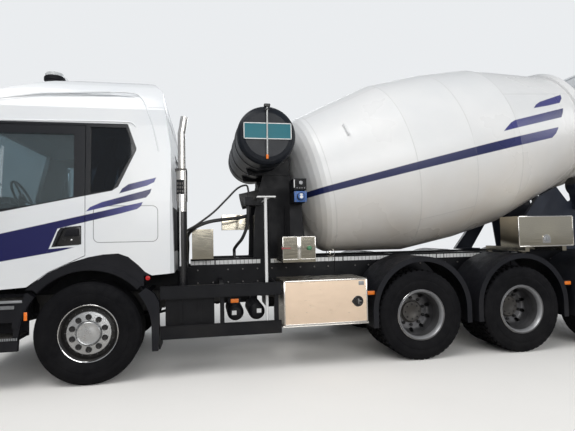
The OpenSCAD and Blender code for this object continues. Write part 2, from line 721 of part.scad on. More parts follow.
exhaust_u = cab_rear + 74;
module exhaust_stack() {
  color("#b5b7b9") {
    bar([exhaust_u, 950, 1900], [exhaust_u, 950, 2700], 43);
    // Bent tip, open at its end
    difference() {
      union() {
        bar([exhaust_u, 950, 2690], [exhaust_u + 34, 950, 2890], 42);
        translate([at(exhaust_u), 950, 2698]) sphere(r = 43, $fn = 32);
      }
      bar([exhaust_u + 18, 950, 2780], [exhaust_u + 51, 950, 2990], 39);
    }
    difference() {
      cyl_z(exhaust_u, 950, 62, 1927, 2268);
      cyl_z(exhaust_u, 950, 56, 1926, 2269);
    }
    cyl_z(exhaust_u, 950, 57, 2268, 2290);
    cyl_z(exhaust_u, 950, 62, 1910, 1930);
  }
  color("#232427") {
    bar([exhaust_u, 950, 905], [exhaust_u, 950, 1905], 55);
    box(exhaust_u - 40, exhaust_u + 40, frame_w/2, 950, 910, 960);
    box(exhaust_u - 30, exhaust_u + 30, 800, 900, 1660, 1700);
    box(exhaust_u - 30, exhaust_u + 30, 800, 840, 955, 1700);
  }
}
small_box_u = drum_u - 1643;
rear_box_u = axle2 + 1360;
module metal_boxes() {
  color("#a9abad") {
    // Oil cooler
    box(1036, 1296, 250, 560, 1229, 1598);
    box(1066, 1266, 240, 250, 1260, 1570);
    box(1036, 1296, frame_w/2 - 60, frame_w/2, subframe_top, 1229);
    // Two small bright boxes
    box(small_box_u, small_box_u + 180, 718 + seat_gap, 1100, 1220, 1487);
    box(small_box_u + 210, small_box_u + 390, 718 + seat_gap, 1100, 1220, 1487);
    box(small_box_u + 180, small_box_u + 210, 718 + seat_gap, 1090, 1220, 1480);
    box(small_box_u, small_box_u + 390, frame_w/2, 1100, subframe_top - 30, 1220);
    // Rear box
    box(rear_box_u, rear_box_u + 800, 860, 1200, 1300, 1688);
    box(rear_box_u + 12, rear_box_u + 788, 1200, 1206, 1312, 1676);
    for (u = [rear_box_u + 100, rear_box_u + 640]) {
      box(u, u + 60, frame_w/2, 1190, 1240, 1300);
      box(u, u + 60, frame_w/2, frame_w/2 + 60, subframe_top - 60, 1240);
    }
    // Box on the far side, against the pedestal's plate
    box(drum_u - 2278, drum_u - 1743, -700, -frame_w/2 + 30 - seat_gap, 1595, 1812);
  }
}
panel_u = drum_u - 1478;
module control_boxes() {
  color("#17181a") {
    box(panel_u, panel_u + 160, 700, 718, 1220, 2185);
    box(panel_u + 5, panel_u + 155, 718, 1000, 2045, 2180);
    translate([at(panel_u + 80), 1000, 2125]) rotate([-90, 0, 0]) cylinder(r = 26, h = 24);
    // Hose block on its arm
    box(drum_u - 2028, drum_u - 1928, 400, 640, 1890, 1990);
    box(drum_u - 2018, drum_u - 1798, frame_w/2 - 30, 400, 1900, 1960);
  }
  color("#2a62a8") {
    box(panel_u + 5, panel_u + 155, 718, 1000, 1896, 2030);
    translate([at(panel_u + 80), 1000, 1963]) rotate([-90, 0, 0]) cylinder(r = 46, h = 30);
  }
}
// Routes of the hoses between the cab and the pedestal, as [u, y, z]
block_u = drum_u - 1978;
hose_foot_u = axle2 - 2145;
hose_routes = [
  [12, [[925, 360, 1120.3], [925, 360, 1180], [925, 360, 1240], [930, 470, 1400], [940, 640, 1500],
    [985, 750, 1580], [1100, 745, 1650], [1300, 715, 1800], [1460, 680, 1960], [1600, 640, 2100],
    [block_u - 30, 610, 2140], [block_u - 5, 600, 2080], [block_u - 5, 600, 2035],
    [block_u - 5, 600, 1990.3]]],
  [22, [[970, 360, 1120.3], [970, 360, 1180], [970, 360, 1240], [980, 440, 1400], [990, 600, 1530],
    [1080, 680, 1620], [1240, 650, 1685], [1430, 610, 1715], [1620, 560, 1735], [block_u - 10, 515, 1765],
    [block_u + 10, 500, 1810], [block_u + 10, 500, 1850], [block_u + 10, 500, 1889.7]]],
  [20, [[block_u - 10, 580, 1889.7], [block_u - 10, 580, 1845], [block_u - 10, 580, 1800],
    [1720, 560, 1640], [1660, 530, 1480], [1600, 480, 1400], [hose_foot_u, 400, 1340],
    [hose_foot_u, 360, 1300], [hose_foot_u, 360, 1260], [hose_foot_u, 360, 1220.3]]]];
function curve_point(a, b, c, d, t) = b + t*((c - a)/2
  + t*(a - 2.5*b + 2*c - 0.5*d + t*((d - a)/2 + 1.5*(b - c))));
function smooth_route(p, steps) = let (n = len(p)) [for (i = [0:n - 2]) for (k = [0:steps - 1])
  curve_point(p[max(i - 1, 0)], p[i], p[i + 1], p[min(i + 2, n - 1)], k/steps), p[n - 1]];
module tube(route, r) {
  q = [for (p = smooth_route(route, 4)) [at(p.x), p.y, p.z]];
  n = len(q);
  sides = 10;
  points = [for (i = [0:n - 1]) let (d = q[min(i + 1, n - 1)] - q[max(i - 1, 0)], w = d/norm(d),
    u0 = cross(w, [0, 1, 0]), u = u0/norm(u0), v = cross(w, u))
    for (k = [0:sides - 1]) q[i] + r*(cos(360*k/sides)*u + sin(360*k/sides)*v)];
  polyhedron(points, concat([[for (k = [0:sides - 1]) sides - 1 - k]],
    [[for (k = [0:sides - 1]) sides*(n - 1) + k]],
    [for (i = [0:n - 2]) for (k = [0:sides - 1]) let (a = sides*i, b = a + sides, m = (k + 1) % sides)
      each [[a + k, a + m, b + m], [a + k, b + m, b + k]]]));
}
module hoses() {
  color("#121314") for (h = hose_routes) tube(h[1], h[0]);
}
ped_y = frame_w/2 - 60;
module front_pedestal() {
  color("#17181a") {
    both_sides() translate([-drum_u, 0, 0]) side_plate([[-1900, subframe_top], [-1178, subframe_top],
      [-1238, 1700], [-1363, 2150], [-1408, 2330], [-1758, 2330], [-1850, 1960], [-1880, 1800]],
      ped_y, ped_y + 30);
    box(drum_u - 1838, drum_u - 1808, -ped_y, ped_y, subframe_top, 1800);
    box(drum_u - 1718, drum_u - 1388, -ped_y, ped_y, 1800, 1830);
    // Stiffening ribs down the outer face
    both_sides() for (u = [drum_u - 1700, drum_u - 1480]) box(u, u + 16, ped_y + 30, ped_y + 58, 1232, 1880);
    both_sides() box(drum_u - 1900, drum_u - 1178, ped_y, frame_w/2, subframe_top, subframe_top + 14);
    // Head plate that carries the gearbox
    on_drum(gearbox_s - 185.5) difference() {
      translate([-420, -ped_y, 0]) cube([640, 2*ped_y, 25]);
      translate([0, 0, -1]) cylinder(r = 211, h = 27);
    }
    // Cradle of the water tank
    both_sides() difference() {
      translate([-drum_u, 0, 0]) side_plate([[-1960, 2300], [-1418, 2300], [-1393, 2520], [-1418, 2520],
        [-1620, 2400], [-1998, 2520], [-2000, 2440]], ped_y, ped_y + 40);
      cyl_y(water_u, water_z, water_r, 0, 1000);
    }
  }
}
water_u = drum_u - 1792;
water_z = 2690;
module water_tank() {
  color("#1d2026") {
    half = water_len/2;
    translate([at(water_u), 0, water_z]) rotate([-90, 0, 0]) rotate_extrude($fn = 96)
      polygon([[0, -half], [water_r - 90, -half + 6], [water_r - 40, -half + 20], [water_r - 13, -half + 45],
        [water_r, -half + 80], [water_r, half - 80], [water_r - 13, half - 45], [water_r - 40, half - 20],
        [water_r - 90, half - 6], [0, half]]);
    // Raised bands and the filler on top
    for (y = [-700, 0, 640]) cyl_y(water_u, water_z, water_r + 6, y - 30, y + 30);
    cyl_z(water_u, 300, 90, water_z, water_z + water_r + 40);
    cyl_z(water_u, 300, 105, water_z + water_r + 40, water_z + water_r + 70);
  }
  color("#1f7f86") {
    box(water_u - 279, water_u + 287, water_len/2 + 4, water_len/2 + 12, 2632, 2825);
    for (u = [-90, 90]) cyl_y(water_u + u, 2690, 12, water_len/2 - 30, water_len/2 + 6);
  }
  color("#e8e8e8") {
    cyl_z(drum_u - 1842, 1150, 17, 550, 1940);
    box(drum_u - 1938, drum_u - 1728, 1100, 1190, 1940, 1955);
    box(drum_u - 1793, drum_u - 1777, frame_w/2 - 30, 1100, 1940, 1955);
  }
}
module drum_gearbox() {
  color("#6a6d70") {
    on_drum(gearbox_s - 460) {
      cylinder(r = 210, h = 300);
      translate([0, 0, 300]) cylinder(r = 240, h = 120);
      translate([0, 0, -260]) cylinder(r = 110, h = 260);
      translate([0, 0, 420]) cylinder(r = flange_r - 60, h = 40 - seat_gap);
    }
  }
}

// Drum
function seam_line(d) = [for (p = drum_seams) [p[1] - d, p[0]]];
// Dished front head, moved inwards by d
head_r = drum_seams[0][1];
function head_line(d) = [for (k = [0:8]) let (a = 74.4*(8 - k)/8)
  [head_r*cos(a) - d*(k + 1)/9, drum_front - 330*sin(a) + d*(9 - k)/9]];
module drum() {
  color("white") on_drum(0) {
    rotate_extrude($fn = 120) difference() {
      polygon(concat([[0, gearbox_s]], head_line(0), [for (i = [1:6]) seam_line(0)[i]], [[0, mouth_s]]));
      polygon(concat([[0, gearbox_s + 20]], head_line(drum_wall + 2),
        [for (i = [1:6]) seam_line(drum_wall)[i]], [[0, mouth_s + 1]]));
    }
    // Lifting lugs and the closed hatch in the shell
    for (a = [60, 240]) rotate([0, 0, a]) translate([head_r + 76, -90, -700]) rotate([0, -12.9, 0])
      cube([40, 180, 24]);
    translate([0, 0, ring_s - ring_w/2]) difference() {
      cylinder(r = ring_r, h = ring_w, $fn = 120);
      translate([0, 0, -1]) cylinder(r = ring_seat_r - 3, h = ring_w + 2, $fn = 120);
    }
  }
}
blade_turns = 2.6;
blade_start = drum_front + 60;
blade_end = mouth_s - 40;
blade_steps = 72;
function wall_r(s) = lookup(s, [for (p = drum_seams) p]);
module blade(phase) {
  rings = [for (i = [0:blade_steps]) let (t = i/blade_steps, s = blade_start + t*(blade_end - blade_start),
    a = phase + 360*blade_turns*t, r1 = wall_r(s) - drum_wall - 4,
    h = min(blade_h, r1 - 370), r0 = r1 - max(h, 120)) [
      [r0*cos(a), r0*sin(a), s - 4], [r1*cos(a), r1*sin(a), s - 4],
      [r1*cos(a), r1*sin(a), s + 4], [r0*cos(a), r0*sin(a), s + 4]]];
  n = len(rings);
  polyhedron([for (r = rings) for (p = r) p],
    concat([[3, 2, 1, 0]], [[for (k = [0:3]) 4*(n - 1) + k]],
      [for (i = [0:n - 2]) for (k = [0:3]) each [
        [4*i + k, 4*i + (k + 1) % 4, 4*(i + 1) + (k + 1) % 4],
        [4*i + k, 4*(i + 1) + (k + 1) % 4, 4*(i + 1) + k]]]));
}
module blades() {
  color("#b8b4ac") on_drum(0) for (phase = [0, 180]) blade(phase);
}
roller_d = ring_r + roller_r + seat_gap;
module at_roller(side) {
  on_drum(ring_s) translate([-roller_d*cos(roller_angle), side*roller_d*sin(roller_angle), 0])
    children();
}
module roller(side) {
  color("#8a8c8e") at_roller(side) difference() {
    cylinder(r = roller_r, h = ring_w + 20, center = true);
    cylinder(r = 30 + pin_gap, h = ring_w + 40, center = true);
  }
}
module rear_pedestal() {
  color("#1d2430") {
    both_sides() {
      // Roller fork, standing on a sloped side frame
      at_roller(1) {
        cylinder(r = 30, h = ring_w + 100, center = true);
        for (z = [-1, 1]) translate([-300, -70, z*(ring_w/2 + 30) - 12]) cube([340, 140, 24]);
      }
      translate([-drum_u, 0, 0]) side_plate([[2232, subframe_top], [3432, subframe_top], [3402, 1400],
        [3330, 2300], [3110, 2300], [3060, 1960], [2800, 1930], [2620, 2150], [2330, 2010], [2160, 1700]],
        frame_w/2 + 25, frame_w/2 + 50);
      // Sloping leg in front of the side frame, on its foot and tied to the frame at its top
      translate([-drum_u, 0, 0]) side_plate([[1560, subframe_top + 16], [1860, subframe_top + 16],
        [2365, 1993], [2160, 1993]], 560, 620);
      box(drum_u + 1560, drum_u + 1860, frame_w/2 - 60, 620, subframe_top, subframe_top + 16);
      box(drum_u + 2240, drum_u + 2330, frame_w/2 + 50, 560, 1890, 1950);
    }
    roller_beam();
    both_sides() {
      box(hopper_post_u, hopper_post_u + 60, 640, 700, subframe_top, 3560);
      box(hopper_post_u, hopper_post_u + 60, frame_w/2, 700, subframe_top - 60, subframe_top);
      box(drum_u + 3290, hopper_post_u, 640, 700, 2200, 2260);
      box(drum_u + 3290, drum_u + 3330, frame_w/2 + 50, 700, 2200, 2260);
    }
  }
}
module roller_beam() {
  on_drum(ring_s) translate([-roller_d*cos(roller_angle) - 330, -640, -ring_w/2 - 60])
    cube([60, 1280, ring_w + 120]);
}
hopper_post_u = drum_u + 3382;
// Funnel from a side outline as [x, z] and a front outline as [y, z], open above top and below base
function opened(p, t, top, base) = [for (i = [0:len(p) - 1]) inset(p, t)[i]
  + (p[i].y >= top ? [0, 4*t] : p[i].y <= base ? [0, -4*t] : [0, 0])];
module funnel_body(side, front) {
  intersection() {
    translate([front_x, 900, 0]) rotate([90, 0, 0]) linear_extrude(1800) polygon(side);
    translate([front_x - 9000, 0, 0]) rotate([90, 0, 90]) linear_extrude(9000) polygon(front);
  }
}
hopper_x = -drum_u;
hopper_side = [[hopper_x - 3742, 3380], [hopper_x - 3362, 3380], [hopper_x - 3267, 3945],
  [hopper_x - 4167, 3945]];
hopper_front = [[-230, 3380], [230, 3380], [520, 3945], [-520, 3945]];
module charge_hopper() {
  color("white") {
    difference() {
      union() {
        funnel_body(hopper_side, hopper_front);
        box(hopper_post_u, hopper_post_u + 60, -700, 700, 3560, 3572);
      }
      funnel_body(opened(hopper_side, 6, 3900, 3400), opened(hopper_front, 6, 3900, 3400));
    }
    // Rolled rim
    difference() {
      box(drum_u + 3255, drum_u + 4179, -532, 532, 3925, 3949);
      box(drum_u + 3273, drum_u + 4161, -514, 514, 3920, 3955);
    }
    difference() {
      translate([-drum_u, 0, 0]) side_plate([[3742, 3380], [3362, 3380], [3262, 3300], [3142, 3130],
        [3142, 2990], [3742, 3290]], -226, 226);
      translate([-drum_u, 0, 0]) side_plate([[3736, 3390], [3368, 3390], [3272, 3310], [3132, 3140],
        [3132, 2996], [3736, 3297]], -220, 220);
    }
  }
}
collector_side = [[hopper_x - 3932, 2140], [hopper_x - 3612, 2140], [hopper_x - 3372, 2500],
  [hopper_x - 4072, 2900]];
collector_front = [[-180, 2140], [180, 2140], [600, 2560], [600, 2950], [-600, 2950], [-600, 2560]];
module collector() {
  color("#1d2430") {
    difference() {
      funnel_body(collector_side, collector_front);
      funnel_body(opened(collector_side, 6, 2450, 2200), opened(collector_front, 6, 2900, 2200));
    }
    both_sides() {
      box(hopper_post_u, hopper_post_u + 130, 628, 640, 2530, 2560);
      box(hopper_post_u + 80, hopper_post_u + 130, 570, 640, 2530, 2560);
    }
  }
}
module ladder() {
  color("#b9bcbe") {
    u = hopper_post_u - 10;
    for (y = [760, 1160]) box(u, u + 50, y, y + 30, 700, 3300);
    for (z = [760:280:3000]) box(u + 10, u + 40, 790, 1160, z, z + 25);
    box(u, u + 50, frame_w/2, 760, 1000, 1050);
    box(u, u + 50, 700, 760, 2900, 2950);
    // Hoop at the top
    bar([u + 25, 775, 3290], [u + 25, 900, 3480], 15);
    bar([u + 25, 1175, 3290], [u + 25, 1050, 3480], 15);
    bar([u + 25, 890, 3476], [u + 25, 1060, 3476], 15);
  }
}
module rear_bumper() {
  color("#1b1c1e") {
    box(frame_end - 90, frame_end, -half_w + 60, half_w - 60, 430, 550);
    both_sides() box(frame_end - 70, frame_end - 10, 250, 330, 550, rail_bottom);
    difference() {
      union() {
        box(frame_end + 14, chute_pivot_u, -60, 60, 1080, 1290);
        cyl_z(chute_pivot_u, 0, 75, 1060, 1330 - seat_gap);
      }
      cyl_z(chute_pivot_u, 0, 45 + pin_gap, 1000, 1400);
    }
    // Tow jaw with a vertical pin hole
    difference() {
      union() {
        box(frame_end, frame_end + 14, -90, 90, 590, rail_bottom);
        for (z = [640, 740]) {
          box(frame_end + 14, frame_end + 70, -55, 55, z, z + 30);
          cyl_z(frame_end + 70, 0, 55, z, z + 30);
        }
      }
      cyl_z(frame_end + 70, 0, 20, 600, 800);
    }
  }
  color("#a02020") both_sides() box(frame_end, frame_end + 40, 700, 1100, 440, 540);
}

// Chute
module at_chute() {
  translate([at(chute_pivot_u), 0, chute_pivot_z]) rotate([0, -90 - chute_slope, 0]) children();
}
module trough(r, z0, z1) {
  translate([0, 0, z0]) {
    rotate([0, 0, 90]) rotate_extrude(angle = 180, $fn = 72) translate([r - 5, 0]) square([5, z1 - z0]);
    for (s = [-1, 1]) translate([0, s*(r - 2.5), 0]) cylinder(r = 12, h = z1 - z0, $fn = 24);
  }
}
// Rib round the outside of a trough
module chute_rib(z) {
  translate([0, 0, z]) rotate([0, 0, 90]) rotate_extrude(angle = 180, $fn = 72)
    translate([chute_r - 2, 0]) square([20, 30]);
}
module chute_fork() {
  u = chute_pivot_u;
  color("#1d2430") {
    cyl_z(u, 0, 45, 1070, 1340);
    box(u - 50, u + 50, -chute_r - 70, chute_r + 70, 1330, 1400);
    both_sides() difference() {
      union() {
        box(u - 40, u + 40, chute_r + 30, chute_r + 70, 1380, chute_pivot_z);
        cyl_y(u, chute_pivot_z, 40, chute_r + 30, chute_r + 70);
      }
      cyl_y(u, chute_pivot_z, 20 + pin_gap, chute_r, chute_r + 80);
    }
  }
}
fold_x = 25;
fold_z = chute_len + 20;
module chute() {
  color("#1d2430") at_chute() {
    trough(chute_r, -180, chute_len);
    for (z = [-180, 480, chute_len - 140]) chute_rib(z);
    both_sides() {
      translate([0, chute_r - 2, 0]) rotate([-90, 0, 0]) cylinder(r = 34, h = 18);
      translate([0, chute_r, 0]) rotate([-90, 0, 0]) cylinder(r = 20, h = 68);
      difference() {
        union() {
          translate([fold_x - 60, chute_r - 5, fold_z - 60]) cube([60, 21, 70]);
          translate([fold_x, chute_r - 5, fold_z]) rotate([-90, 0, 0]) cylinder(r = 22, h = 21);
        }
        translate([fold_x, chute_r - 10, fold_z]) rotate([-90, 0, 0]) cylinder(r = 10 + pin_gap, h = 40);
      }
    }
  }
}
module chute_extension() {
  color("#1d2430") at_chute() translate([fold_x, 0, fold_z]) rotate([0, 180, 0]) {
    translate([-fold_x, 0, 0]) {
      trough(chute_r, 35, chute_ext_len);
      for (z = [200, chute_ext_len - 30]) chute_rib(z);
    }
    both_sides() {
      translate([0, chute_r + 20, 0]) rotate([-90, 0, 0]) cylinder(r = 20, h = 10);
      translate([-45, chute_r + 20, -5]) cube([45, 10, 80]);
      translate([-45, chute_r - 5, 40]) cube([40, 30, 35]);
      translate([0, chute_r - 5, 0]) rotate([-90, 0, 0]) cylinder(r = 10, h = 30);
    }
  }
}

frame_rails();
subframe();
front_axle();
rear_axles();
powertrain();
bumper();
mudguards();
side_guards();
tanks();
toolbox();
toolbox_door();
exhaust_stack();
metal_boxes();
control_boxes();
hoses();
front_pedestal();
drum_gearbox();
water_tank();
rear_pedestal();
charge_hopper();
collector();
ladder();
rear_bumper();
cab_shell();
cab_glass();
cab_trim();
cab_interior();
door(1);  // door_left
door(-1);  // door_right
door_glass(1);  // door_glass_left
door_glass(-1);  // door_glass_right
mirror_unit(1);  // mirror_left
mirror_unit(-1);  // mirror_right
knuckle(axle1, 1);  // knuckle_left
knuckle(axle1, -1);  // knuckle_right
knuckle(axle4, 1);  // tag_knuckle_left
knuckle(axle4, -1);  // tag_knuckle_right
single_tyre(axle1, 1);  // tyre_front_left
single_rim(axle1, 1);  // rim_front_left
single_tyre(axle1, -1);  // tyre_front_right
single_rim(axle1, -1);  // rim_front_right
twin_tyres(axle2, 1);  // tyres_drive1_left
twin_rims(axle2, 1);  // rims_drive1_left
twin_tyres(axle2, -1);  // tyres_drive1_right
twin_rims(axle2, -1);  // rims_drive1_right
twin_tyres(axle3, 1);  // tyres_drive2_left
twin_rims(axle3, 1);  // rims_drive2_left
twin_tyres(axle3, -1);  // tyres_drive2_right
twin_rims(axle3, -1);  // rims_drive2_right
single_tyre(axle4, 1);  // tyre_tag_left
single_rim(axle4, 1);  // rim_tag_left
single_tyre(axle4, -1);  // tyre_tag_right
single_rim(axle4, -1);  // rim_tag_right
drum();
blades();
roller(1);  // roller_left
roller(-1);  // roller_right
chute_fork();
chute();
chute_extension();
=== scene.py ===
import math
import bpy
from mathutils import Matrix, Vector


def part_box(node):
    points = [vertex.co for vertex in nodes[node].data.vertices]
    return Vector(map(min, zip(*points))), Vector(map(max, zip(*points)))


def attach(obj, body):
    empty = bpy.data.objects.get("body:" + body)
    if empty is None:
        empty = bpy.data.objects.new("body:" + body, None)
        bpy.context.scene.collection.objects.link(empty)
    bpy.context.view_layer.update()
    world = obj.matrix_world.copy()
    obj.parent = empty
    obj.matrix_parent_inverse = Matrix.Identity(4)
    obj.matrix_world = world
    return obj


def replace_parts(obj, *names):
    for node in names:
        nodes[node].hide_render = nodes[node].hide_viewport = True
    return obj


# Looks of the concrete mixer truck. x points forward, y to the driver's left, z up, in metres.
# Stations along the truck, called u, count rearward from the front axle.
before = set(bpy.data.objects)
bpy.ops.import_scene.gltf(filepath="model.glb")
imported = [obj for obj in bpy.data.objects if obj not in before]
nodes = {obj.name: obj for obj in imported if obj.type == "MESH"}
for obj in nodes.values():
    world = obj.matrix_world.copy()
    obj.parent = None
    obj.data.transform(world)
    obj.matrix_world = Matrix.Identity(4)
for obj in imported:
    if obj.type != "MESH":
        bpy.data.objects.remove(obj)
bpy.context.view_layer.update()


def middle(node):
    low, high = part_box(node)
    return (low + high) / 2


front_axle = middle("tyre_front_left").x


def at(u, y, z):
    """A place given in millimetres behind the front axle, left of the middle and above the ground."""
    return Vector((front_axle - u / 1000, y / 1000, z / 1000))


# Camera and light

backdrop, backdrop_strength = (0.87, 0.89, 0.91, 1), 0.95


def photo_camera():
    turn, pitch, roll = 0.1854, 0.0425, -0.0190
    right = Vector((-math.cos(turn), math.sin(turn), 0))
    ahead = Vector((-math.sin(turn), -math.cos(turn), 0))
    up = Vector((0, 0, 1))
    ahead, up = (
        ahead * math.cos(pitch) + up * math.sin(pitch),
        up * math.cos(pitch) - ahead * math.sin(pitch),
    )
    right, up = (
        right * math.cos(roll) + up * math.sin(roll),
        up * math.cos(roll) - right * math.sin(roll),
    )
    bpy.ops.object.camera_add(location=(front_axle - 1.204, 6.082, 1.518))
    camera = bpy.context.object
    camera.name = "photo_camera"
    camera.rotation_euler = Matrix((right, up, -ahead)).transposed().to_euler()
    camera.data.lens = 27.372
    camera.data.sensor_width = 36
    camera.data.clip_end = 200
    bpy.context.scene.camera = camera


def area_lamp(name, place, aim, size, power, colour):
    bpy.ops.object.light_add(type="AREA", location=place)
    lamp = bpy.context.object
    lamp.name = name
    lamp.data.shape = "RECTANGLE"
    lamp.data.size, lamp.data.size_y = size
    lamp.data.energy = power
    lamp.data.color = colour
    lamp.rotation_euler = (Vector(aim) - Vector(place)).to_track_quat("-Z", "Y").to_euler()


def studio():
    area_lamp("high_lamp", (6, 5, 11), (0, 0, 1.5), (9, 6), 690, (1.0, 0.98, 0.95))
    area_lamp("side_lamp", (-1, 13, 4.5), (-0.5, 0, 1.6), (12, 5), 760, (1.0, 0.99, 0.97))
    area_lamp("far_lamp", (-4, -11, 7), (0, 0, 1.5), (10, 5), 480, (0.95, 0.98, 1.0))
    area_lamp("rear_lamp", (-13, 3, 6), (-2, 0, 1.5), (6, 4), 200, (1.0, 1.0, 1.0))
    world = bpy.context.scene.world or bpy.data.worlds.new("studio_air")
    bpy.context.scene.world = world
    world.use_nodes = True
    tree = world.node_tree
    tree.nodes.clear()
    out = tree.nodes.new("ShaderNodeOutputWorld")
    mix = tree.nodes.new("ShaderNodeMixShader")
    # The soft air lights the truck, the backdrop is what the camera sees
    soft, seen = (tree.nodes.new("ShaderNodeBackground") for _ in range(2))
    for air, colour, strength in ((soft, (0.93, 0.96, 1.0, 1), 0.36), (seen, backdrop, backdrop_strength)):
        air.inputs["Color"].default_value = colour
        air.inputs["Strength"].default_value = strength
    rays = tree.nodes.new("ShaderNodeLightPath")
    either = tree.nodes.new("ShaderNodeMath")
    either.operation = "MAXIMUM"
    tree.links.new(rays.outputs["Is Camera Ray"], either.inputs[0])
    tree.links.new(rays.outputs["Is Transmission Ray"], either.inputs[1])
    tree.links.new(either.outputs[0], mix.inputs[0])
    tree.links.new(soft.outputs[0], mix.inputs[1])
    tree.links.new(seen.outputs[0], mix.inputs[2])
    tree.links.new(mix.outputs[0], out.inputs["Surface"])
    bpy.context.scene.view_settings.view_transform = "Standard"


# Finishes

finishes = {}  # each finish under its name, as it is made


class Tree:
    """The nodes of one finish, on Object coordinates."""

    def __init__(self, name):
        self.material = bpy.data.materials.new(name)
        self.material.use_nodes = True
        finishes[name] = self.material
        self.tree = self.material.node_tree
        self.shader = self.tree.nodes["Principled BSDF"]
        self.place = self.add("ShaderNodeTexCoord").outputs["Object"]

    def add(self, kind, *sources, **settings):
        node = self.tree.nodes.new(kind)
        for key, value in settings.items():
            setattr(node, key, value)
        for i, source in enumerate(sources):
            self.feed(source, node.inputs[i])
        return node

    def feed(self, source, socket):
        if isinstance(source, bpy.types.NodeSocket):
            self.tree.links.new(source, socket)
        elif source is not None:
            socket.default_value = source

    def sum(self, operation, a, b=None, c=None):
        return self.add("ShaderNodeMath", a, b, c, operation=operation).outputs[0]

    def along(self, direction, shift=0.0):
        """Distance of the surface point along a direction."""
        dot = self.add("ShaderNodeVectorMath", self.place, direction, operation="DOT_PRODUCT")
        return self.sum("ADD", dot.outputs["Value"], shift)

    def stretched(self, scale):
        return self.add("ShaderNodeMapping", self.place, None, None, scale).outputs[0]

    def noise(self, scale, detail=3.0, vector=None):
        node = self.add("ShaderNodeTexNoise", vector or self.place)
        node.inputs["Scale"].default_value = scale
        node.inputs["Detail"].default_value = detail
        return node.outputs["Fac"]

    def ribs(self, direction, scale):
        """Fine parallel ribs."""
        node = self.add("ShaderNodeTexWave", self.place, bands_direction=direction)
        node.inputs["Scale"].default_value = scale
        return node.outputs["Fac"]

    def span(self, value, low, high, to_low=0.0, to_high=1.0):
        node = self.add("ShaderNodeMapRange", value, low, high, to_low, to_high)
        return node.outputs["Result"]

    def cloud(self, scale, detail=3.0, to_low=0.0, to_high=1.0):
        """Soft patches between two values."""
        return self.span(self.noise(scale, detail), 0.3, 0.7, to_low, to_high)

    def blend(self, amount, a, b):
        node = self.add("ShaderNodeMix", data_type="RGBA")
        self.feed(amount, node.inputs["Factor"])
        self.feed(a, node.inputs["A"])
        self.feed(b, node.inputs["B"])
        return node.outputs["Result"]

    def set(self, **values):
        for key, value in values.items():
            self.feed(value, self.shader.inputs[key.replace("_", " ")])

    def bump(self, height, distance, strength=1.0):
        node = self.add("ShaderNodeBump")
        node.inputs["Strength"].default_value = strength
        node.inputs["Distance"].default_value = distance
        self.feed(height, node.inputs["Height"])
        self.feed(node.outputs["Normal"], self.shader.inputs["Normal"])

    def inside(self, across, up, corners, soft=0.003):
        """1 inside a convex outline whose corners run anticlockwise, 0 outside it."""
        result = None
        for i, (x0, y0) in enumerate(corners):
            x1, y1 = corners[(i + 1) % len(corners)]
            length = math.hypot(x1 - x0, y1 - y0)
            a, b = -(y1 - y0) / length, (x1 - x0) / length
            c = -(a * x0 + b * y0)
            line = self.sum("MULTIPLY_ADD", across, a, c)
            line = self.sum("MULTIPLY_ADD", up, b, line)
            result = line if result is None else self.sum("MINIMUM", result, line)
        return self.span(result, -soft, soft)

    def any_of(self, *masks):
        result = masks[0]
        for mask in masks[1:]:
            result = self.sum("MAXIMUM", result, mask)
        return result

    def dust(self, colour, top=0.95, amount=0.35, tint=(0.30, 0.27, 0.23, 1)):
        """Road dust that fades upward from the ground."""
        height = self.along((0, 0, 1))
        fade = self.span(height, 0.15, top, amount, 0.0)
        cloud = self.span(self.noise(3.0, 5.0), 0.35, 0.7)
        return self.blend(self.sum("MULTIPLY", fade, cloud), colour, tint)


def plain(name, colour, other, rough, metal=0.0, grain=6.0, bump=0.0006, fine=180.0, dusty=0.0,
          coat=0.0, specular=0.5, spread=0.08):
    """A finish with soft clouds of a second colour, uneven gloss and a fine surface."""
    t = Tree(name)
    cloud = t.cloud(grain, 4.0)
    shade = t.blend(cloud, colour, other)
    if dusty:
        shade = t.dust(shade, amount=dusty)
    t.set(Base_Color=shade, Metallic=metal)
    t.set(Roughness=t.cloud(grain * 2.3, 5.0, rough - spread, rough + spread))
    t.set(Coat_Weight=coat, Specular_IOR_Level=specular)
    t.bump(t.noise(fine, 2.0), bump)


def brushed(name, colour, other, rough, stretch, metal=1.0):
    """Sheet metal with a fine brushed grain."""
    t = Tree(name)
    grain = t.noise(9.0, 4.0, t.stretched(stretch))
    cloud = t.noise(2.2, 3.0)
    t.set(Base_Color=t.blend(t.span(cloud, 0.3, 0.7), colour, other), Metallic=metal)
    t.set(Roughness=t.span(t.sum("MULTIPLY", grain, t.span(cloud, 0.2, 0.8, 0.85, 1.15)), 0.25, 0.75,
                           rough * 0.7, rough * 1.35))
    t.bump(grain, 0.0003, 0.5)


navy = (0.007, 0.008, 0.080, 1)
violet = (0.052, 0.054, 0.22, 1)
white = (0.77, 0.79, 0.81, 1)
cool_white = (0.73, 0.76, 0.80, 1)
pillar_black = (0.006, 0.007, 0.010, 1)


def across(points):
    """Corners given as (u, z) in millimetres, turned to (x, z) in metres, anticlockwise."""
    return [(front_axle - u / 1000, z / 1000) for u, z in reversed(points)]


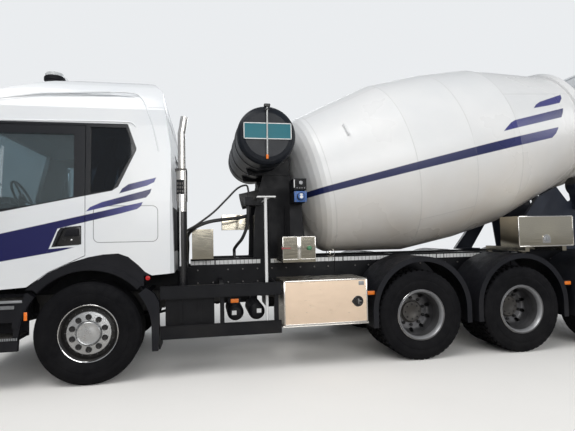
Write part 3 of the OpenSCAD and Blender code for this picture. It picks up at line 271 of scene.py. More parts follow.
# Each stripe's outline, where it is navy and where it is violet along the truck
cab_stripes = [
    ([(-1400, 1200), (-392, 1367), (-292, 1614), (-266, 1702), (-1400, 1447)], 2000, 3000),
    ([(-396, 1366), (-364, 1371), (-246, 1394), (-135, 1423), (-200, 1424), (-379, 1412)], 2000, 3000),
    ([(-304, 1615), (325, 1768), (490, 1814), (531, 1845), (549, 1888), (-278, 1700)], 120, 420),
    ([(-19, 1792), (583, 1937), (624, 1984), (638, 2030), (139, 1890), (23, 1838)], 330, 80),
    ([(310, 1980), (590, 2063), (666, 2102), (686, 2152), (406, 2080), (340, 2032)], 400, 620),
]
drum_stripes = [
    ([(-1300, -182), (2090, -163), (2183, -114), (2233, -66), (2258, -29), (1124, -54), (-1300, -86)],
     1.0, 2.5),
    ([(1262, 54), (2366, 84), (2428, 149), (2466, 204), (1476, 163), (1403, 142), (1323, 95)], 2.9, 1.3),
    ([(1901, 277), (2188, 278), (2451, 289), (2547, 352), (2577, 408), (2075, 351), (1972, 320)], 1.0, 2.2),
]
window_surround = [(-1300, 1700), (240, 2010), (300, 2052), (480, 2440), (484, 2470), (398, 2722),
                   (388, 2732), (-1300, 2732)]
handle_recess = [(-350, 1428), (-62, 1452), (-62, 1646), (-262, 1626), (-290, 1588)]
drum_slope = math.radians(12.78)
drum_axis = Vector((-math.cos(drum_slope), 0, math.sin(drum_slope)))
drum_up = Vector((math.sin(drum_slope), 0, math.cos(drum_slope)))
drum_start = at(3718, 0, 2440)
drum_seams = [-1.043, 0.0, 0.790, 1.488, 2.728]
# Weld lines along the drum: their turn in degrees, and the stations between which they run
long_seams = [(27.6, 1.488, 2.728), (-40.8, 0.0, 0.790), (62.0, -1.043, 0.0)]
cab_side = (1.02, 1.06)  # metres from the middle, where the cab's side begins


def cab_paint():
    t = Tree("cab_paint")
    x, z = t.along((1, 0, 0)), t.along((0, 0, 1))
    masks = [t.inside(x, z, across(points)) for points, _, _ in cab_stripes]
    tones = [t.sum("MULTIPLY", mask, t.span(x, at(dark, 0, 0).x, at(pale, 0, 0).x))
             for mask, (_, dark, pale) in zip(masks, cab_stripes)]
    striped = t.any_of(*masks)
    stripe = t.blend(t.any_of(*tones), navy, violet)
    cloud = t.cloud(1.4, 3.0)
    paint = t.blend(cloud, white, cool_white)
    dusty_and_shaded = t.dust(paint, top=1.5, amount=0.10, tint=(0.45, 0.43, 0.40, 1))
    y = t.sum("ABSOLUTE", t.along((0, 1, 0)))
    side = t.span(y, *cab_side)
    # Painted shade: a dark line drawn in the groove round the lid, which lies a few millimetres deep
    lid = t.inside(x, z, across([(48, 1460), (709, 1460), (709, 1856), (48, 1856)]))
    groove_shade = t.sum("MULTIPLY", lid, t.sum("MULTIPLY", t.span(y, 1.2385, 1.238), t.span(y, 1.230, 1.232)))
    dusty_and_shaded = t.blend(t.sum("MULTIPLY", groove_shade, 0.75), dusty_and_shaded, (0.10, 0.10, 0.11, 1))
    painted = t.blend(t.sum("MULTIPLY", striped, side), dusty_and_shaded, stripe)
    dark = t.any_of(t.inside(x, z, across(window_surround)), t.inside(x, z, across(handle_recess)))
    surround = t.sum("MULTIPLY", dark, side)
    t.set(Base_Color=t.blend(surround, painted, pillar_black), Roughness=0.24)
    t.set(Coat_Weight=0.25, Coat_Roughness=0.06)
    # A faint orange peel on slow waves
    t.bump(t.sum("ADD", t.noise(260.0, 1.0), t.sum("MULTIPLY", t.noise(3.0, 2.0), 3.0)), 0.0005, 0.6)


def drum_paint():
    t = Tree("drum_paint")
    s = t.along(drum_axis, -drum_start.dot(drum_axis))
    v = t.along(drum_up, -drum_start.dot(drum_up))
    y = t.along((0, 1, 0))
    masks = [t.inside(s, v, [(a / 1000, b / 1000) for a, b in points], 0.004)
             for points, _, _ in drum_stripes]
    tones = [t.sum("MULTIPLY", mask, t.span(s, dark, pale))
             for mask, (_, dark, pale) in zip(masks, drum_stripes)]
    stripe = t.blend(t.any_of(*tones), (0.014, 0.020, 0.088, 1), violet)
    cloud = t.span(t.noise(0.9, 4.0), 0.35, 0.65)
    paint = t.blend(cloud, (0.80, 0.81, 0.82, 1), (0.73, 0.75, 0.77, 1))
    # Painted shade: the drum's lower side turns a patchy warm grey
    low = t.span(v, 0.1, -1.0, 0.0, 0.75)
    underside_shade = t.sum("MULTIPLY", low, t.span(t.noise(2.0, 5.0), 0.3, 0.8, 0.5, 1.0))
    paint = t.blend(underside_shade, paint, (0.62, 0.54, 0.44, 1))
    # Weld lines round the drum and along it
    seam = None
    for station in drum_seams:
        line = t.sum("ABSOLUTE", t.sum("SUBTRACT", s, station + 0.004))
        seam = line if seam is None else t.sum("MINIMUM", seam, line)
    angle = t.sum("ARCTAN2", v, t.sum("ABSOLUTE", y))
    for turn, first, last in long_seams:
        off = t.sum("ABSOLUTE", t.sum("SUBTRACT", angle, math.radians(turn)))
        beyond = t.sum("ABSOLUTE", t.sum("SUBTRACT", s, (first + last) / 2))
        beyond = t.sum("MAXIMUM", t.sum("SUBTRACT", beyond, (last - first) / 2), 0.0)
        seam = t.sum("MINIMUM", seam, t.sum("ADD", off, t.sum("MULTIPLY", beyond, 40.0)))
    weld = t.span(seam, 0.002, 0.007, 1.0, 0.0)
    paint = t.blend(t.sum("MULTIPLY", weld, 0.35), paint, (0.47, 0.47, 0.47, 1))
    t.set(Base_Color=t.blend(t.any_of(*masks), paint, stripe), Roughness=t.span(cloud, 0, 1, 0.26, 0.36))
    t.set(Coat_Weight=0.04, Coat_Roughness=0.3)
    rough_sheet = t.sum("MULTIPLY", t.noise(1.6, 3.0), 4.0)
    sheet = t.sum("ADD", rough_sheet, t.noise(200.0, 1.0))
    t.bump(t.sum("ADD", sheet, t.sum("MULTIPLY", weld, 2.5)), 0.0009, 0.8)


def tinted_glass():
    t = Tree("tinted_glass")
    clear = t.blend(t.cloud(1.2, 2.0), (0.36, 0.44, 0.47, 1), (0.30, 0.38, 0.42, 1))
    # The quarter windows behind the doors are privacy glass
    quarter = t.sum("MULTIPLY", t.span(t.sum("ABSOLUTE", t.along((0, 1, 0))), *cab_side),
                    t.span(t.along((1, 0, 0)), at(0, 0, 0).x, at(10, 0, 0).x))
    tone = t.blend(quarter, clear, (0.035, 0.045, 0.06, 1))
    t.set(Base_Color=tone, Roughness=t.span(t.noise(30.0, 2.0), 0, 1, 0.015, 0.05))
    t.set(Transmission_Weight=0.9, IOR=1.45)
    t.bump(t.noise(2.0, 1.0), 0.0004, 0.2)


def clear_lens(name, colour, painted_glow=0.0):
    """A lamp lens with fine ribs, and a painted glow that makes it look lit."""
    t = Tree(name)
    ribs = t.ribs("X", 60.0)
    t.set(Base_Color=t.blend(t.cloud(40.0), colour, tuple(0.8 * c for c in colour[:3]) + (1,)))
    t.set(Roughness=t.span(ribs, 0, 1, 0.10, 0.22))
    t.set(Transmission_Weight=0.25, Emission_Color=colour)
    t.set(Emission_Strength=painted_glow)
    t.bump(ribs, 0.0008, 0.5)


def water_tank_plastic():
    """Black tank with its teal sign, and the white pole and bar that carry the level board."""
    t = Tree("tank_plastic")
    x, y, z = t.along((1, 0, 0)), t.along((0, 1, 0)), t.along((0, 0, 1))
    cloud = t.cloud(2.0, 4.0)
    black = t.blend(cloud, (0.006, 0.008, 0.013, 1), (0.010, 0.013, 0.019, 1))
    sign = t.inside(x, z, across([(1640, 2626), (2222, 2626), (2222, 2832), (1640, 2832)]))
    sign = t.sum("MULTIPLY", sign, t.span(y, 1.050, 1.052))
    shade = t.blend(sign, black, (0.006, 0.135, 0.175, 1))
    shade = t.blend(t.span(z, 1.9705, 1.9700), shade, (0.72, 0.73, 0.74, 1))
    t.set(Base_Color=shade, Roughness=t.cloud(5.0, 4.0, 0.28, 0.40))
    t.set(Specular_IOR_Level=0.25)
    t.bump(t.noise(90.0, 2.0), 0.0012)


def exhaust_steel():
    """Bright steel that turns to black paint below the first clamp."""
    t = Tree("exhaust_steel")
    grain = t.noise(9.0, 4.0, t.stretched((1, 1, 0.2)))
    steel = t.blend(t.cloud(2.2, 3.0), (0.74, 0.72, 0.69, 1), (0.62, 0.60, 0.58, 1))
    low = t.span(t.along((0, 0, 1)), 1.798, 1.796)
    t.set(Base_Color=t.blend(low, steel, (0.010, 0.010, 0.012, 1)), Metallic=t.span(low, 0, 1, 1.0, 0.0))
    t.set(Roughness=t.span(grain, 0.25, 0.75, 0.18, 0.34))
    t.bump(grain, 0.0003, 0.5)


def seat_cloth():
    """Woven dark grey cloth with paler flecks."""
    t = Tree("seat_cloth")
    cloth = t.sum("MULTIPLY", t.ribs("Y", 90.0), t.ribs("Z", 90.0))
    fleck = t.span(t.noise(160.0, 2.0), 0.55, 0.7)
    shade = t.blend(fleck, (0.040, 0.041, 0.046, 1), (0.085, 0.087, 0.095, 1))
    t.set(Base_Color=shade, Roughness=t.span(cloth, 0, 1, 0.85, 0.95))
    t.bump(cloth, 0.0015, 0.7)


def tread_rubber():
    t = Tree("tread_rubber")
    cloud = t.cloud(5.0, 5.05)
    rubber = t.blend(cloud, (0.0035, 0.0037, 0.005, 1), (0.007, 0.007, 0.0085, 1))
    t.set(Base_Color=t.dust(rubber, top=0.8, amount=0.10, tint=(0.035, 0.033, 0.030, 1)))
    t.set(Roughness=t.cloud(14.0, 4.0, 0.68, 0.9))
    t.set(Specular_IOR_Level=0.13)
    t.bump(t.sum("ADD", t.noise(420.0, 2.0), t.noise(60.0, 2.0)), 0.0012, 0.5)


plain("white_paint", white, cool_white, 0.28, grain=1.5, bump=0.0004, coat=0.4)
cab_paint()
drum_paint()
plain("chassis_paint", (0.003, 0.0035, 0.0055, 1), (0.007, 0.0075, 0.010, 1), 0.46, grain=5, dusty=0.04,
      bump=0.0008, specular=0.18)
plain("black_plastic", (0.004, 0.0045, 0.007, 1), (0.008, 0.0085, 0.012, 1), 0.55, grain=4, dusty=0.04,
      bump=0.0012, fine=300, specular=0.2)
plain("navy_paint", (0.010, 0.013, 0.024, 1), (0.017, 0.022, 0.036, 1), 0.40, grain=3, dusty=0.08, coat=0.1,
      specular=0.4)
plain("cast", (0.045, 0.046, 0.048, 1), (0.075, 0.074, 0.072, 1), 0.62, 0.4, grain=9, bump=0.003, fine=120,
      dusty=0.25)
tread_rubber()
plain("rim_steel", (0.46, 0.47, 0.49, 1), (0.36, 0.37, 0.39, 1), 0.38, 0.55, grain=6, dusty=0.12,
      bump=0.0008)
brushed("stainless", (0.66, 0.62, 0.55, 1), (0.58, 0.55, 0.50, 1), 0.30, (1, 1, 14))
# The polished box's warm tint is a painted reflection
brushed("mirror_steel", (0.76, 0.70, 0.56, 1), (0.68, 0.63, 0.52, 1), 0.10, (1, 1, 6))
brushed("aluminium", (0.62, 0.63, 0.65, 1), (0.50, 0.51, 0.53, 1), 0.34, (1, 1, 8))
tinted_glass()
plain("interior", (0.030, 0.031, 0.034, 1), (0.045, 0.045, 0.048, 1), 0.8, grain=12, bump=0.002)
plain("rubber_hose", (0.012, 0.012, 0.013, 1), (0.022, 0.022, 0.023, 1), 0.5, grain=20)
water_tank_plastic()
brushed("polished", (0.80, 0.80, 0.80, 1), (0.70, 0.70, 0.71, 1), 0.12, (1, 6, 1))
plain("hub_alu", (0.62, 0.63, 0.64, 1), (0.50, 0.51, 0.52, 1), 0.30, 0.9, grain=8, bump=0.0006)
plain("hub_black", (0.020, 0.020, 0.022, 1), (0.040, 0.038, 0.036, 1), 0.45, 0.2, grain=9, bump=0.001,
      dusty=0.35)
plain("gloss_black", (0.012, 0.012, 0.013, 1), (0.020, 0.020, 0.021, 1), 0.22, grain=12, bump=0.0004)
plain("worn_steel", (0.20, 0.20, 0.20, 1), (0.11, 0.10, 0.095, 1), 0.48, 0.7, grain=30, bump=0.0012,
      dusty=0.3)
brushed("bright_edge", (0.86, 0.84, 0.80, 1), (0.76, 0.75, 0.72, 1), 0.16, (8, 1, 1))
plain("tape_white", (0.78, 0.79, 0.80, 1), (0.66, 0.67, 0.68, 1), 0.35, grain=20, bump=0.0002)
plain("grey_plate", (0.30, 0.31, 0.33, 1), (0.24, 0.25, 0.26, 1), 0.40, 0.3, grain=15)
plain("red_paint", (0.42, 0.06, 0.07, 1), (0.33, 0.05, 0.06, 1), 0.40, grain=12)
plain("green_knob", (0.05, 0.22, 0.10, 1), (0.04, 0.16, 0.08, 1), 0.45, grain=14)
plain("blue_plastic", (0.03, 0.12, 0.38, 1), (0.025, 0.09, 0.30, 1), 0.38, grain=10)
# The amber and red lenses glow as painted light, on the reflectors and the level float as on the lamps
clear_lens("amber_lens", (0.90, 0.22, 0.02, 1), 0.15)
clear_lens("red_lens", (0.55, 0.01, 0.01, 1), 0.08)
clear_lens("clear_lens", (0.75, 0.78, 0.80, 1))
clear_lens("clear_tube", (0.70, 0.72, 0.72, 1))
plain("mirror_shell", (0.010, 0.011, 0.013, 1), (0.016, 0.017, 0.019, 1), 0.35, grain=8)
plain("mirror_glass", (0.82, 0.84, 0.86, 1), (0.78, 0.80, 0.83, 1), 0.04, 1.0, spread=0.02)
plain("dish_steel", (0.20, 0.20, 0.21, 1), (0.13, 0.13, 0.135, 1), 0.36, 0.75, grain=7)
plain("dark_rim", (0.030, 0.030, 0.032, 1), (0.055, 0.053, 0.050, 1), 0.40, 0.3, grain=9)
seat_cloth()
plain("seat_piping", (0.010, 0.010, 0.012, 1), (0.018, 0.018, 0.020, 1), 0.6, grain=20)
exhaust_steel()
plain("guard_plastic", (0.0045, 0.005, 0.008, 1), (0.008, 0.009, 0.013, 1), 0.50, grain=4, dusty=0.05,
      bump=0.0012, fine=300, specular=0.2)
brushed("warm_steel", (0.90, 0.72, 0.56, 1), (0.84, 0.67, 0.52, 1), 0.36, (1, 1, 14), 0.75)

node_finishes = {
    "cab_paint": ["cab_shell", "door_left", "door_right"],
    "drum_paint": ["drum"],
    "white_paint": ["charge_hopper"],
    "chassis_paint": ["frame_rails", "subframe", "front_axle", "rear_axles", "tanks", "front_pedestal",
                      "rear_bumper", "knuckle_left", "knuckle_right", "tag_knuckle_left", "tag_knuckle_right",
                      "side_guards", "control_boxes"],
    "black_plastic": ["bumper", "cab_trim"],
    "guard_plastic": ["mudguards"],
    "navy_paint": ["rear_pedestal", "collector", "chute_fork", "chute", "chute_extension"],
    "cast": ["powertrain", "drum_gearbox", "roller_left", "roller_right", "blades"],
    "stainless": ["toolbox"],
    "warm_steel": ["toolbox_door"],
    "exhaust_steel": ["exhaust_stack"],
    "mirror_steel": ["metal_boxes"],
    "aluminium": ["ladder"],
    "tinted_glass": ["cab_glass", "door_glass_left", "door_glass_right"],
    "interior": ["cab_interior"],
    "rubber_hose": ["hoses"],
    "tank_plastic": ["water_tank"],
    "mirror_shell": ["mirror_left", "mirror_right"],
    "tread_rubber": [n for n in nodes if n.startswith("tyre")],
    "rim_steel": [n for n in nodes if n.startswith("rim") and "front" not in n],
    "dark_rim": ["rim_front_left", "rim_front_right"],
}
for finish, members in node_finishes.items():
    for member in members:
        mesh = nodes[member].data
        mesh.materials.clear()
        mesh.materials.append(finishes[finish])


# Modelling. Pieces are drawn, spun and bevelled in edit mode, then given a finish and a body.
# Measures are in millimetres unless a line says otherwise.

touching = 0.00003  # metres between points that are one


def begin():
    """Nothing stays selected before a new piece is added."""
    bpy.ops.object.select_all(action="DESELECT")


def take(piece):
    begin()
    piece.select_set(True)
    bpy.context.view_layer.objects.active = piece


def opened(piece):
    """The piece in edit mode, selected all over."""
    take(piece)
    bpy.ops.object.mode_set(mode="EDIT")
    bpy.ops.mesh.select_all(action="SELECT")


def closed(piece):
    bpy.ops.object.mode_set(mode="OBJECT")
    return piece


def settled(piece):
    """The piece with its place, turn and size put into its mesh."""
    take(piece)
    bpy.ops.object.transform_apply(location=True, rotation=True, scale=True)
    return piece


def applied(piece, kind, **settings):
    """The piece with a modifier added, set and applied."""
    take(piece)
    bpy.ops.object.modifier_add(type=kind)
    modifier = piece.modifiers[-1]
    for key, value in settings.items():
        setattr(modifier, key, value)
    bpy.ops.object.modifier_apply(modifier=modifier.name)
    return piece


def block(u0, u1, y0, y1, z0, z1, edge=0.0, steps=2):
    """A box between stations u0 and u1, with its edges rounded off."""
    low, high = at(u1, y0, z0), at(u0, y1, z1)
    begin()
    bpy.ops.mesh.primitive_cube_add(size=1, location=(low + high) / 2)
    piece = bpy.context.object
    piece.scale = high - low
    settled(piece)
    if edge:
        opened(piece)
        bpy.ops.mesh.bevel(offset=edge / 1000, segments=steps, affect="EDGES")
        closed(piece)
    return piece


def drawn(places):
    """A line from place to place, each vertex drawn out of the last. It stays in edit mode."""
    places = [Vector(p) for p in places]
    begin()
    bpy.ops.mesh.primitive_plane_add(size=0.01, location=places[0])
    piece = bpy.context.object
    bpy.ops.object.mode_set(mode="EDIT")
    bpy.ops.mesh.merge(type="CENTER")
    for here, there in zip(places, places[1:]):
        bpy.ops.mesh.extrude_region_move(TRANSFORM_OT_translate={"value": there - here})
    bpy.ops.mesh.select_all(action="SELECT")
    return piece


def tidy_mesh(distance=touching):
    """Doubled points merged and faces turned outwards, in edit mode."""
    bpy.ops.mesh.select_all(action="SELECT")
    bpy.ops.mesh.remove_doubles(threshold=distance)
    bpy.ops.mesh.normals_make_consistent(inside=False)


def plate(places, depth, edge=0.0, steps=1):
    """A flat outline filled with one face and drawn out by a vector."""
    piece = drawn(list(places) + [places[0]])
    bpy.ops.mesh.remove_doubles(threshold=touching)
    bpy.ops.mesh.edge_face_add()
    bpy.ops.mesh.extrude_region_move(TRANSFORM_OT_translate={"value": Vector(depth) / 1000})
    tidy_mesh()
    if edge:
        bpy.ops.mesh.bevel(offset=edge / 1000, segments=steps, affect="EDGES")
    return closed(piece)


def turned(outline, centre, axis=(0, 1, 0), out=(0, 0, 1), steps=48):
    """An outline of (distance along the axis, radius), spun about the axis."""
    centre, axis, out = Vector(centre), Vector(axis).normalized(), Vector(out).normalized()
    piece = drawn([centre + axis * a / 1000 + out * r / 1000 for a, r in outline])
    bpy.ops.mesh.spin(steps=steps, angle=2 * math.pi, center=centre, axis=axis)
    tidy_mesh()
    return closed(piece)


def knob(start, end, radius, bevel, centre, axis=(0, 1, 0), steps=6):
    """A stub from start to end along the axis, its far rim bevelled by (length, depth)."""
    length, depth = bevel
    return turned([(start, 0), (start, radius), (end - length, radius), (end, radius - depth), (end, 0)],
                  centre, axis, steps=steps)


def around(piece, count, centre):
    """The piece repeated round a wheel's centre, count times in all."""
    opened(piece)
    bpy.ops.mesh.spin(steps=count - 1, dupli=True, angle=2 * math.pi * (count - 1) / count,
                      center=centre, axis=(0, 1, 0))
    return closed(piece)


def pipe(places, radius, smooth=True):
    """A round bar through places, with closed ends."""
    begin()
    bpy.ops.curve.primitive_bezier_curve_add(location=(0, 0, 0))
    piece = bpy.context.object
    line = piece.data.splines[0]
    line.bezier_points.add(len(places) - 2)
    for point, place in zip(line.bezier_points, places):
        point.co = place
        point.handle_left_type = point.handle_right_type = "AUTO" if smooth else "VECTOR"
    piece.data.bevel_depth = radius / 1000
    piece.data.bevel_resolution = 3
    piece.data.resolution_u = 6
    piece.data.use_fill_caps = True
    bpy.ops.object.convert(target="MESH")
    return bpy.context.object


def joined(parts):
    take(parts[0])
    for part in parts[1:]:
        part.select_set(True)
    if len(parts) > 1:
        bpy.ops.object.join()
    return settled(parts[0])


def copy_of(piece, shift=(0, 0, 0)):
    """A copy with its own mesh, moved by a shift in metres."""
    take(piece)
    bpy.ops.object.duplicate()
    twin = bpy.context.object
    twin.location += Vector(shift)
    return settled(twin)


def far_copy(piece):
    """The same piece on the other side of the truck."""
    twin = copy_of(piece)
    twin.scale.y = -1
    opened(settled(twin))
    bpy.ops.mesh.normals_make_consistent(inside=False)
    return closed(twin)


def row(piece, count, step):
    """The piece repeated count times, a step apart."""
    return applied(piece, "ARRAY", count=count, use_relative_offset=False, use_constant_offset=True,
                   constant_offset_displace=Vector(step) / 1000)


def cut_by(piece, tool, operation="DIFFERENCE"):
    """The piece cut, or kept only where it shares room with the tool, which is used up."""
    applied(piece, "BOOLEAN", operation=operation, solver="EXACT", object=tool)
    take(tool)
    bpy.ops.object.delete()
    return piece


def framed(u0, u1, z0, z1, y, wide, high, edge=1.5):
    """Four strips round the edge of a plate that faces the side."""
    strips = ((u0, u1, z1 - wide, z1), (u0, u1, z0, z0 + wide),
              (u0, u0 + wide, z0, z1), (u1 - wide, u1, z0, z1))
    return joined([block(a, b, y, y + high, low, top, edge) for a, b, low, top in strips])


def done(piece, name, finish, body="chassis", angle=32):
    """The finished piece: named, painted and riding on its body."""
    settled(piece)
    bpy.ops.object.shade_smooth_by_angle(angle=math.radians(angle))
    piece.name = piece.data.name = name
    piece.data.materials.clear()
    piece.data.materials.append(finishes[finish])
    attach(piece, body)
    return piece


def both(piece, name, finish, body="chassis"):
    """The piece on the left side and its twin on the right."""
    done(far_copy(piece), name + "_right", finish, body)
    done(piece, name + "_left", finish, body)


def on_doors(piece, name, finish):
    """A piece made for the left door, and its twin on the right one."""
    done(far_copy(piece), name + "_right", finish, "door_right")
    done(piece, name + "_left", finish, "door_left")


axle_u = [0, 3710, 5060, 6410]
axle_z = 530
half_w = 1245
steered_y = half_w - 192.5  # the middle of a single tyre
cab_floor = 1340
seat_y = 640
plate_u = [1200, 2900, 4385, 5560, 6800]  # fixing plates of the mixer's subframe


# Wheels. Each is made on the left with its face outwards, about the centre of its outer tyre.

tread_ribs = [(110, 146), (44, 98), (-32, 32), (-98, -44), (-146, -110)]
lugs_round = 46
nut_circle = 0.1675  # metres from the hub's middle to the wheel nuts


def side_wall(w):
    """A tyre's outline as (distance across, radius), from the bead to the shoulder of its left side."""
    bead = w * 0.38
    shares = [(0.45, 316), (0.485, 352), (0.487, 356), (0.499, 384), (0.5, 402), (0.492, 406), (0.497, 412),
              (0.49, 450), (0.484, 470), (0.476, 474), (0.464, 492), (0.44, 511), (0.41, 519), (0.385, 524)]
    return [(bead, 286), (bead + 4, 300), (bead + 16, 302)] + [(w * share, r) for share, r in shares]


def mirrored(half):
    """The other half of an outline that is the same on both sides."""
    return [(-y, r) for y, r in reversed(half)]


def ribbed_tyre(centre, w):
    """A steered wheel's tyre, with grooves between the ribs of its tread."""
    wall, line = side_wall(w), []
    for low, high in tread_ribs:
        if line:
            line += [(line[-1][0] - 2, 515), (high + 2, 515)]
        line += [(high, 529), (low, 529)]
    return turned(wall + line + mirrored(wall), centre, steps=80)


def lugged_tyre(centre, w):
    """A drive tyre: a smooth body with four rows of lugs, the two inner rows half a lug on."""
    wall = side_wall(w)[:-1]
    parts = [turned(wall + [(w * 0.37, 517), (-w * 0.37, 517)] + mirrored(wall), centre, steps=72)]
    u, y = axle_u[1], centre.y * 1000
    for middle_y, wide, long, half_on in ((w * 0.32, w * 0.13, 46, False), (-w * 0.32, w * 0.13, 46, False),
                                          (w * 0.125, w * 0.2, 44, True), (-w * 0.125, w * 0.2, 44, True)):
        lug = block(u - long / 2, u + long / 2, y + middle_y - wide / 2, y + middle_y + wide / 2,
                    axle_z + 500, axle_z + 529.2)
        if half_on:
            opened(lug)
            bpy.ops.transform.rotate(value=math.pi / lugs_round, orient_axis="Y", center_override=centre)
            closed(lug)
        parts.append(around(lug, lugs_round, centre))
    return joined(parts)


def lip_ring(centre, y):
    """The bright rolled edge of a rim; y is the flange's distance out from the wheel's middle."""
    outline = [(y - 7, 288), (y, 286), (y + 5, 289), (y + 7, 295), (y + 3, 300), (y - 6, 301), (y - 7, 288)]
    return turned(outline, centre, steps=96)


def nuts(centre, y, r, high):
    """Ten round nuts with a hollow in each."""
    outline = [(y, 0), (y, r), (y + high - 5, r), (y + high, r - 4), (y + high, r - 9),
               (y + high - 4, r - 13), (y + high - 4, 0)]
    return around(turned(outline, centre + Vector((0, 0, nut_circle)), steps=20), 10, centre)


def hub_bolts(centre, y, circle):
    bolt = turned([(y, 0), (y, 9), (y + 9, 9), (y + 9, 0)], centre + Vector((0, 0, circle)), steps=6)
    return around(bolt, 8, centre)


def front_wheel():
    centre = at(axle_u[0], steered_y, axle_z)
    cover = turned([(116, 224), (128, 224), (134, 219), (143, 150), (144, 134), (139, 127), (116, 127),
                    (116, 224)], centre, steps=72)
    cap = turned([(130, 0), (130, 124), (150, 124), (160, 120), (166, 112), (163, 104), (169, 60), (170, 0)],
                 centre, steps=64)
    face = turned([(119, 216), (124, 217), (80, 278), (74, 278), (119, 216)], centre, steps=72)
    plugs = around(knob(90, 114, 10, (1, 2), centre + Vector((0, 0, 0.240)), steps=12), 20, centre)
    return [(ribbed_tyre(centre, 385), "tread", "tread_rubber"),
            (lip_ring(centre, 160), "rim_edge", "polished"),
            (cover, "nut_ring", "hub_alu"), (cap, "hub_cap", "hub_alu"),
            (nuts(centre, 133, 31, 24), "nut_caps", "gloss_black"), (face, "rim_face", "dark_rim"),
            (plugs, "vent_plugs", "gloss_black")]


def drive_wheel():
    """Twin tyres on deep dished rims with ten vent holes each, and the short hub between their nuts."""
    centre = at(axle_u[1], half_w - 150, axle_z)
    inward = Vector((0, -0.35, 0))  # from the outer tyre to the inner one
    tyre_out = lugged_tyre(centre, 300)
    tyres = joined([tyre_out, copy_of(tyre_out, inward)])
    band = turned([(136, 284), (136, 298), (122, 296), (108, 279), (66, 274), (40, 262), (-40, 262),
                   (-66, 274), (-108, 279), (-122, 296), (-136, 298), (-136, 284), (-112, 268), (-70, 262),
                   (-44, 250), (44, 250), (70, 262), (112, 268), (136, 284)], centre, steps=96)
    disc = turned([(-44, 254), (-92, 254), (-128, 246), (-152, 232), (-163, 217), (-163, 118), (-175, 118),
                   (-175, 222), (-163, 240), (-136, 256), (-96, 263), (-44, 263), (-44, 254)], centre,
                  steps=96)
    punch = turned([(-260, 0), (-260, 26), (-60, 26), (-60, 0)], centre + Vector((0, 0, 0.228)), steps=16)
    disc = cut_by(disc, around(punch, 10, centre))
    rims = joined([copy_of(band, inward), band, disc])
    # A ring of brighter steel on the dish's step, a painted highlight band
    highlight_ring = turned([(135, 283), (112, 267), (80, 262), (80, 259), (114, 263), (137, 281), (135, 283)], centre,
                   steps=96)
    hub = turned([(-340, 0), (-340, 150), (-172, 150), (-172, 146), (-148, 143), (-142, 128), (-120, 126),
                  (-113, 119), (-111, 66), (-115, 58), (-115, 0)], centre, steps=64)
    return [(tyres, "tread", "tread_rubber"), (rims, "rim_body", "dish_steel"),
            (lip_ring(centre, 128), "rim_edge", "polished"), (highlight_ring, "rim_flare", "rim_steel"),
            (hub, "hub", "hub_black"), (nuts(centre, -165, 19, 34), "wheel_nuts", "gloss_black"),
            (hub_bolts(centre, -114, 0.09), "hub_bolts", "black_plastic")]


def tag_wheel():
    centre = at(axle_u[3], steered_y, axle_z)
    hub = turned([(144, 0), (144, 146), (158, 150), (172, 124), (152, 121), (160, 112), (170, 104), (176, 96),
                  (176, 40), (181, 34), (181, 0)], centre, steps=56)
    return [(ribbed_tyre(centre, 385), "tread", "tread_rubber"),
            (lip_ring(centre, 160), "rim_edge", "polished"),
            (hub, "hub", "hub_black"), (nuts(centre, 116, 19, 34), "wheel_nuts", "gloss_black"),
            (hub_bolts(centre, 174, 0.074), "hub_bolts", "worn_steel")]


shading = {"tread": 38, "rim_body": 30}


def fit(pieces, tail, plural):
    """One wheel's pieces named for it. Its tread and dished rims stand for the solids' tyre and rims."""
    node, body = "tyre%s_%s" % (plural, tail), "wheel%s_%s" % (plural, tail)
    for piece, name, finish in pieces:
        done(piece, "%s_%s" % (name, node if name == "tread" else tail), finish, body, shading.get(name, 32))
        if name == "tread":
            tyres = piece
            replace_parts(tyres, node)
        elif name == "rim_body":
            rims = piece
            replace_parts(rims, "rims_" + tail)


def trimmed_axles():
    """The drive and tag axles, their ends cut off where the short hubs cover them."""
    begin()
    piece = bpy.data.objects.new("axles_trimmed", nodes["rear_axles"].data.copy())
    bpy.context.collection.objects.link(piece)
    opened(piece)
    tidy_mesh(0.00001)
    closed(piece)
    hub_y, past = 968, 1300
    for u in axle_u[1:3]:
        for y0, y1 in ((hub_y, past), (-past, -hub_y)):
            cut_by(piece, block(u - 130, u + 130, y0, y1, 400, 660))
    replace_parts(done(piece, "axles_trimmed", "chassis_paint", "chassis", 30), "rear_axles")


def wheels():
    """Each kind of wheel is made once and copied to its other axle and to the right side."""
    trimmed_axles()
    for make, word, plural, axles in ((front_wheel, "front", "", [0]), (drive_wheel, "drive%d", "s", [1, 2]),
                                      (tag_wheel, "tag", "", [3])):
        made = make()
        for axle in reversed(axles):
            tail = word % axle if plural else word
            back = at(axle_u[axle], 0, 0) - at(axle_u[axles[0]], 0, 0)
            left = [(copy_of(piece, back), *rest) for piece, *rest in made] if back.length else made
            right = [(far_copy(piece), *rest) for piece, *rest in left]
            fit(left, tail + "_left", plural)
            fit(right, tail + "_right", plural)


# Chassis

def tape():
    """White reflective squares along the mixer's subframe, on both sides."""
    low, high, wide, pitch = 1147, 1199, 48, 52.4

    def squares(u, y, count):
        return row(block(u, u + wide, y, y + 1.6, low, high, 0.6, 1), count, (-pitch, 0, 0))

    on_frame = [squares(1012, 395, 17), squares(2036, 395, 67)]
    # The fixing plates stand proud of the subframe and carry squares of their own
    on_plates = [squares(u + 8, 407, 2) for u in plate_u]
    both(joined(on_frame + on_plates), "tape", "tape_white")


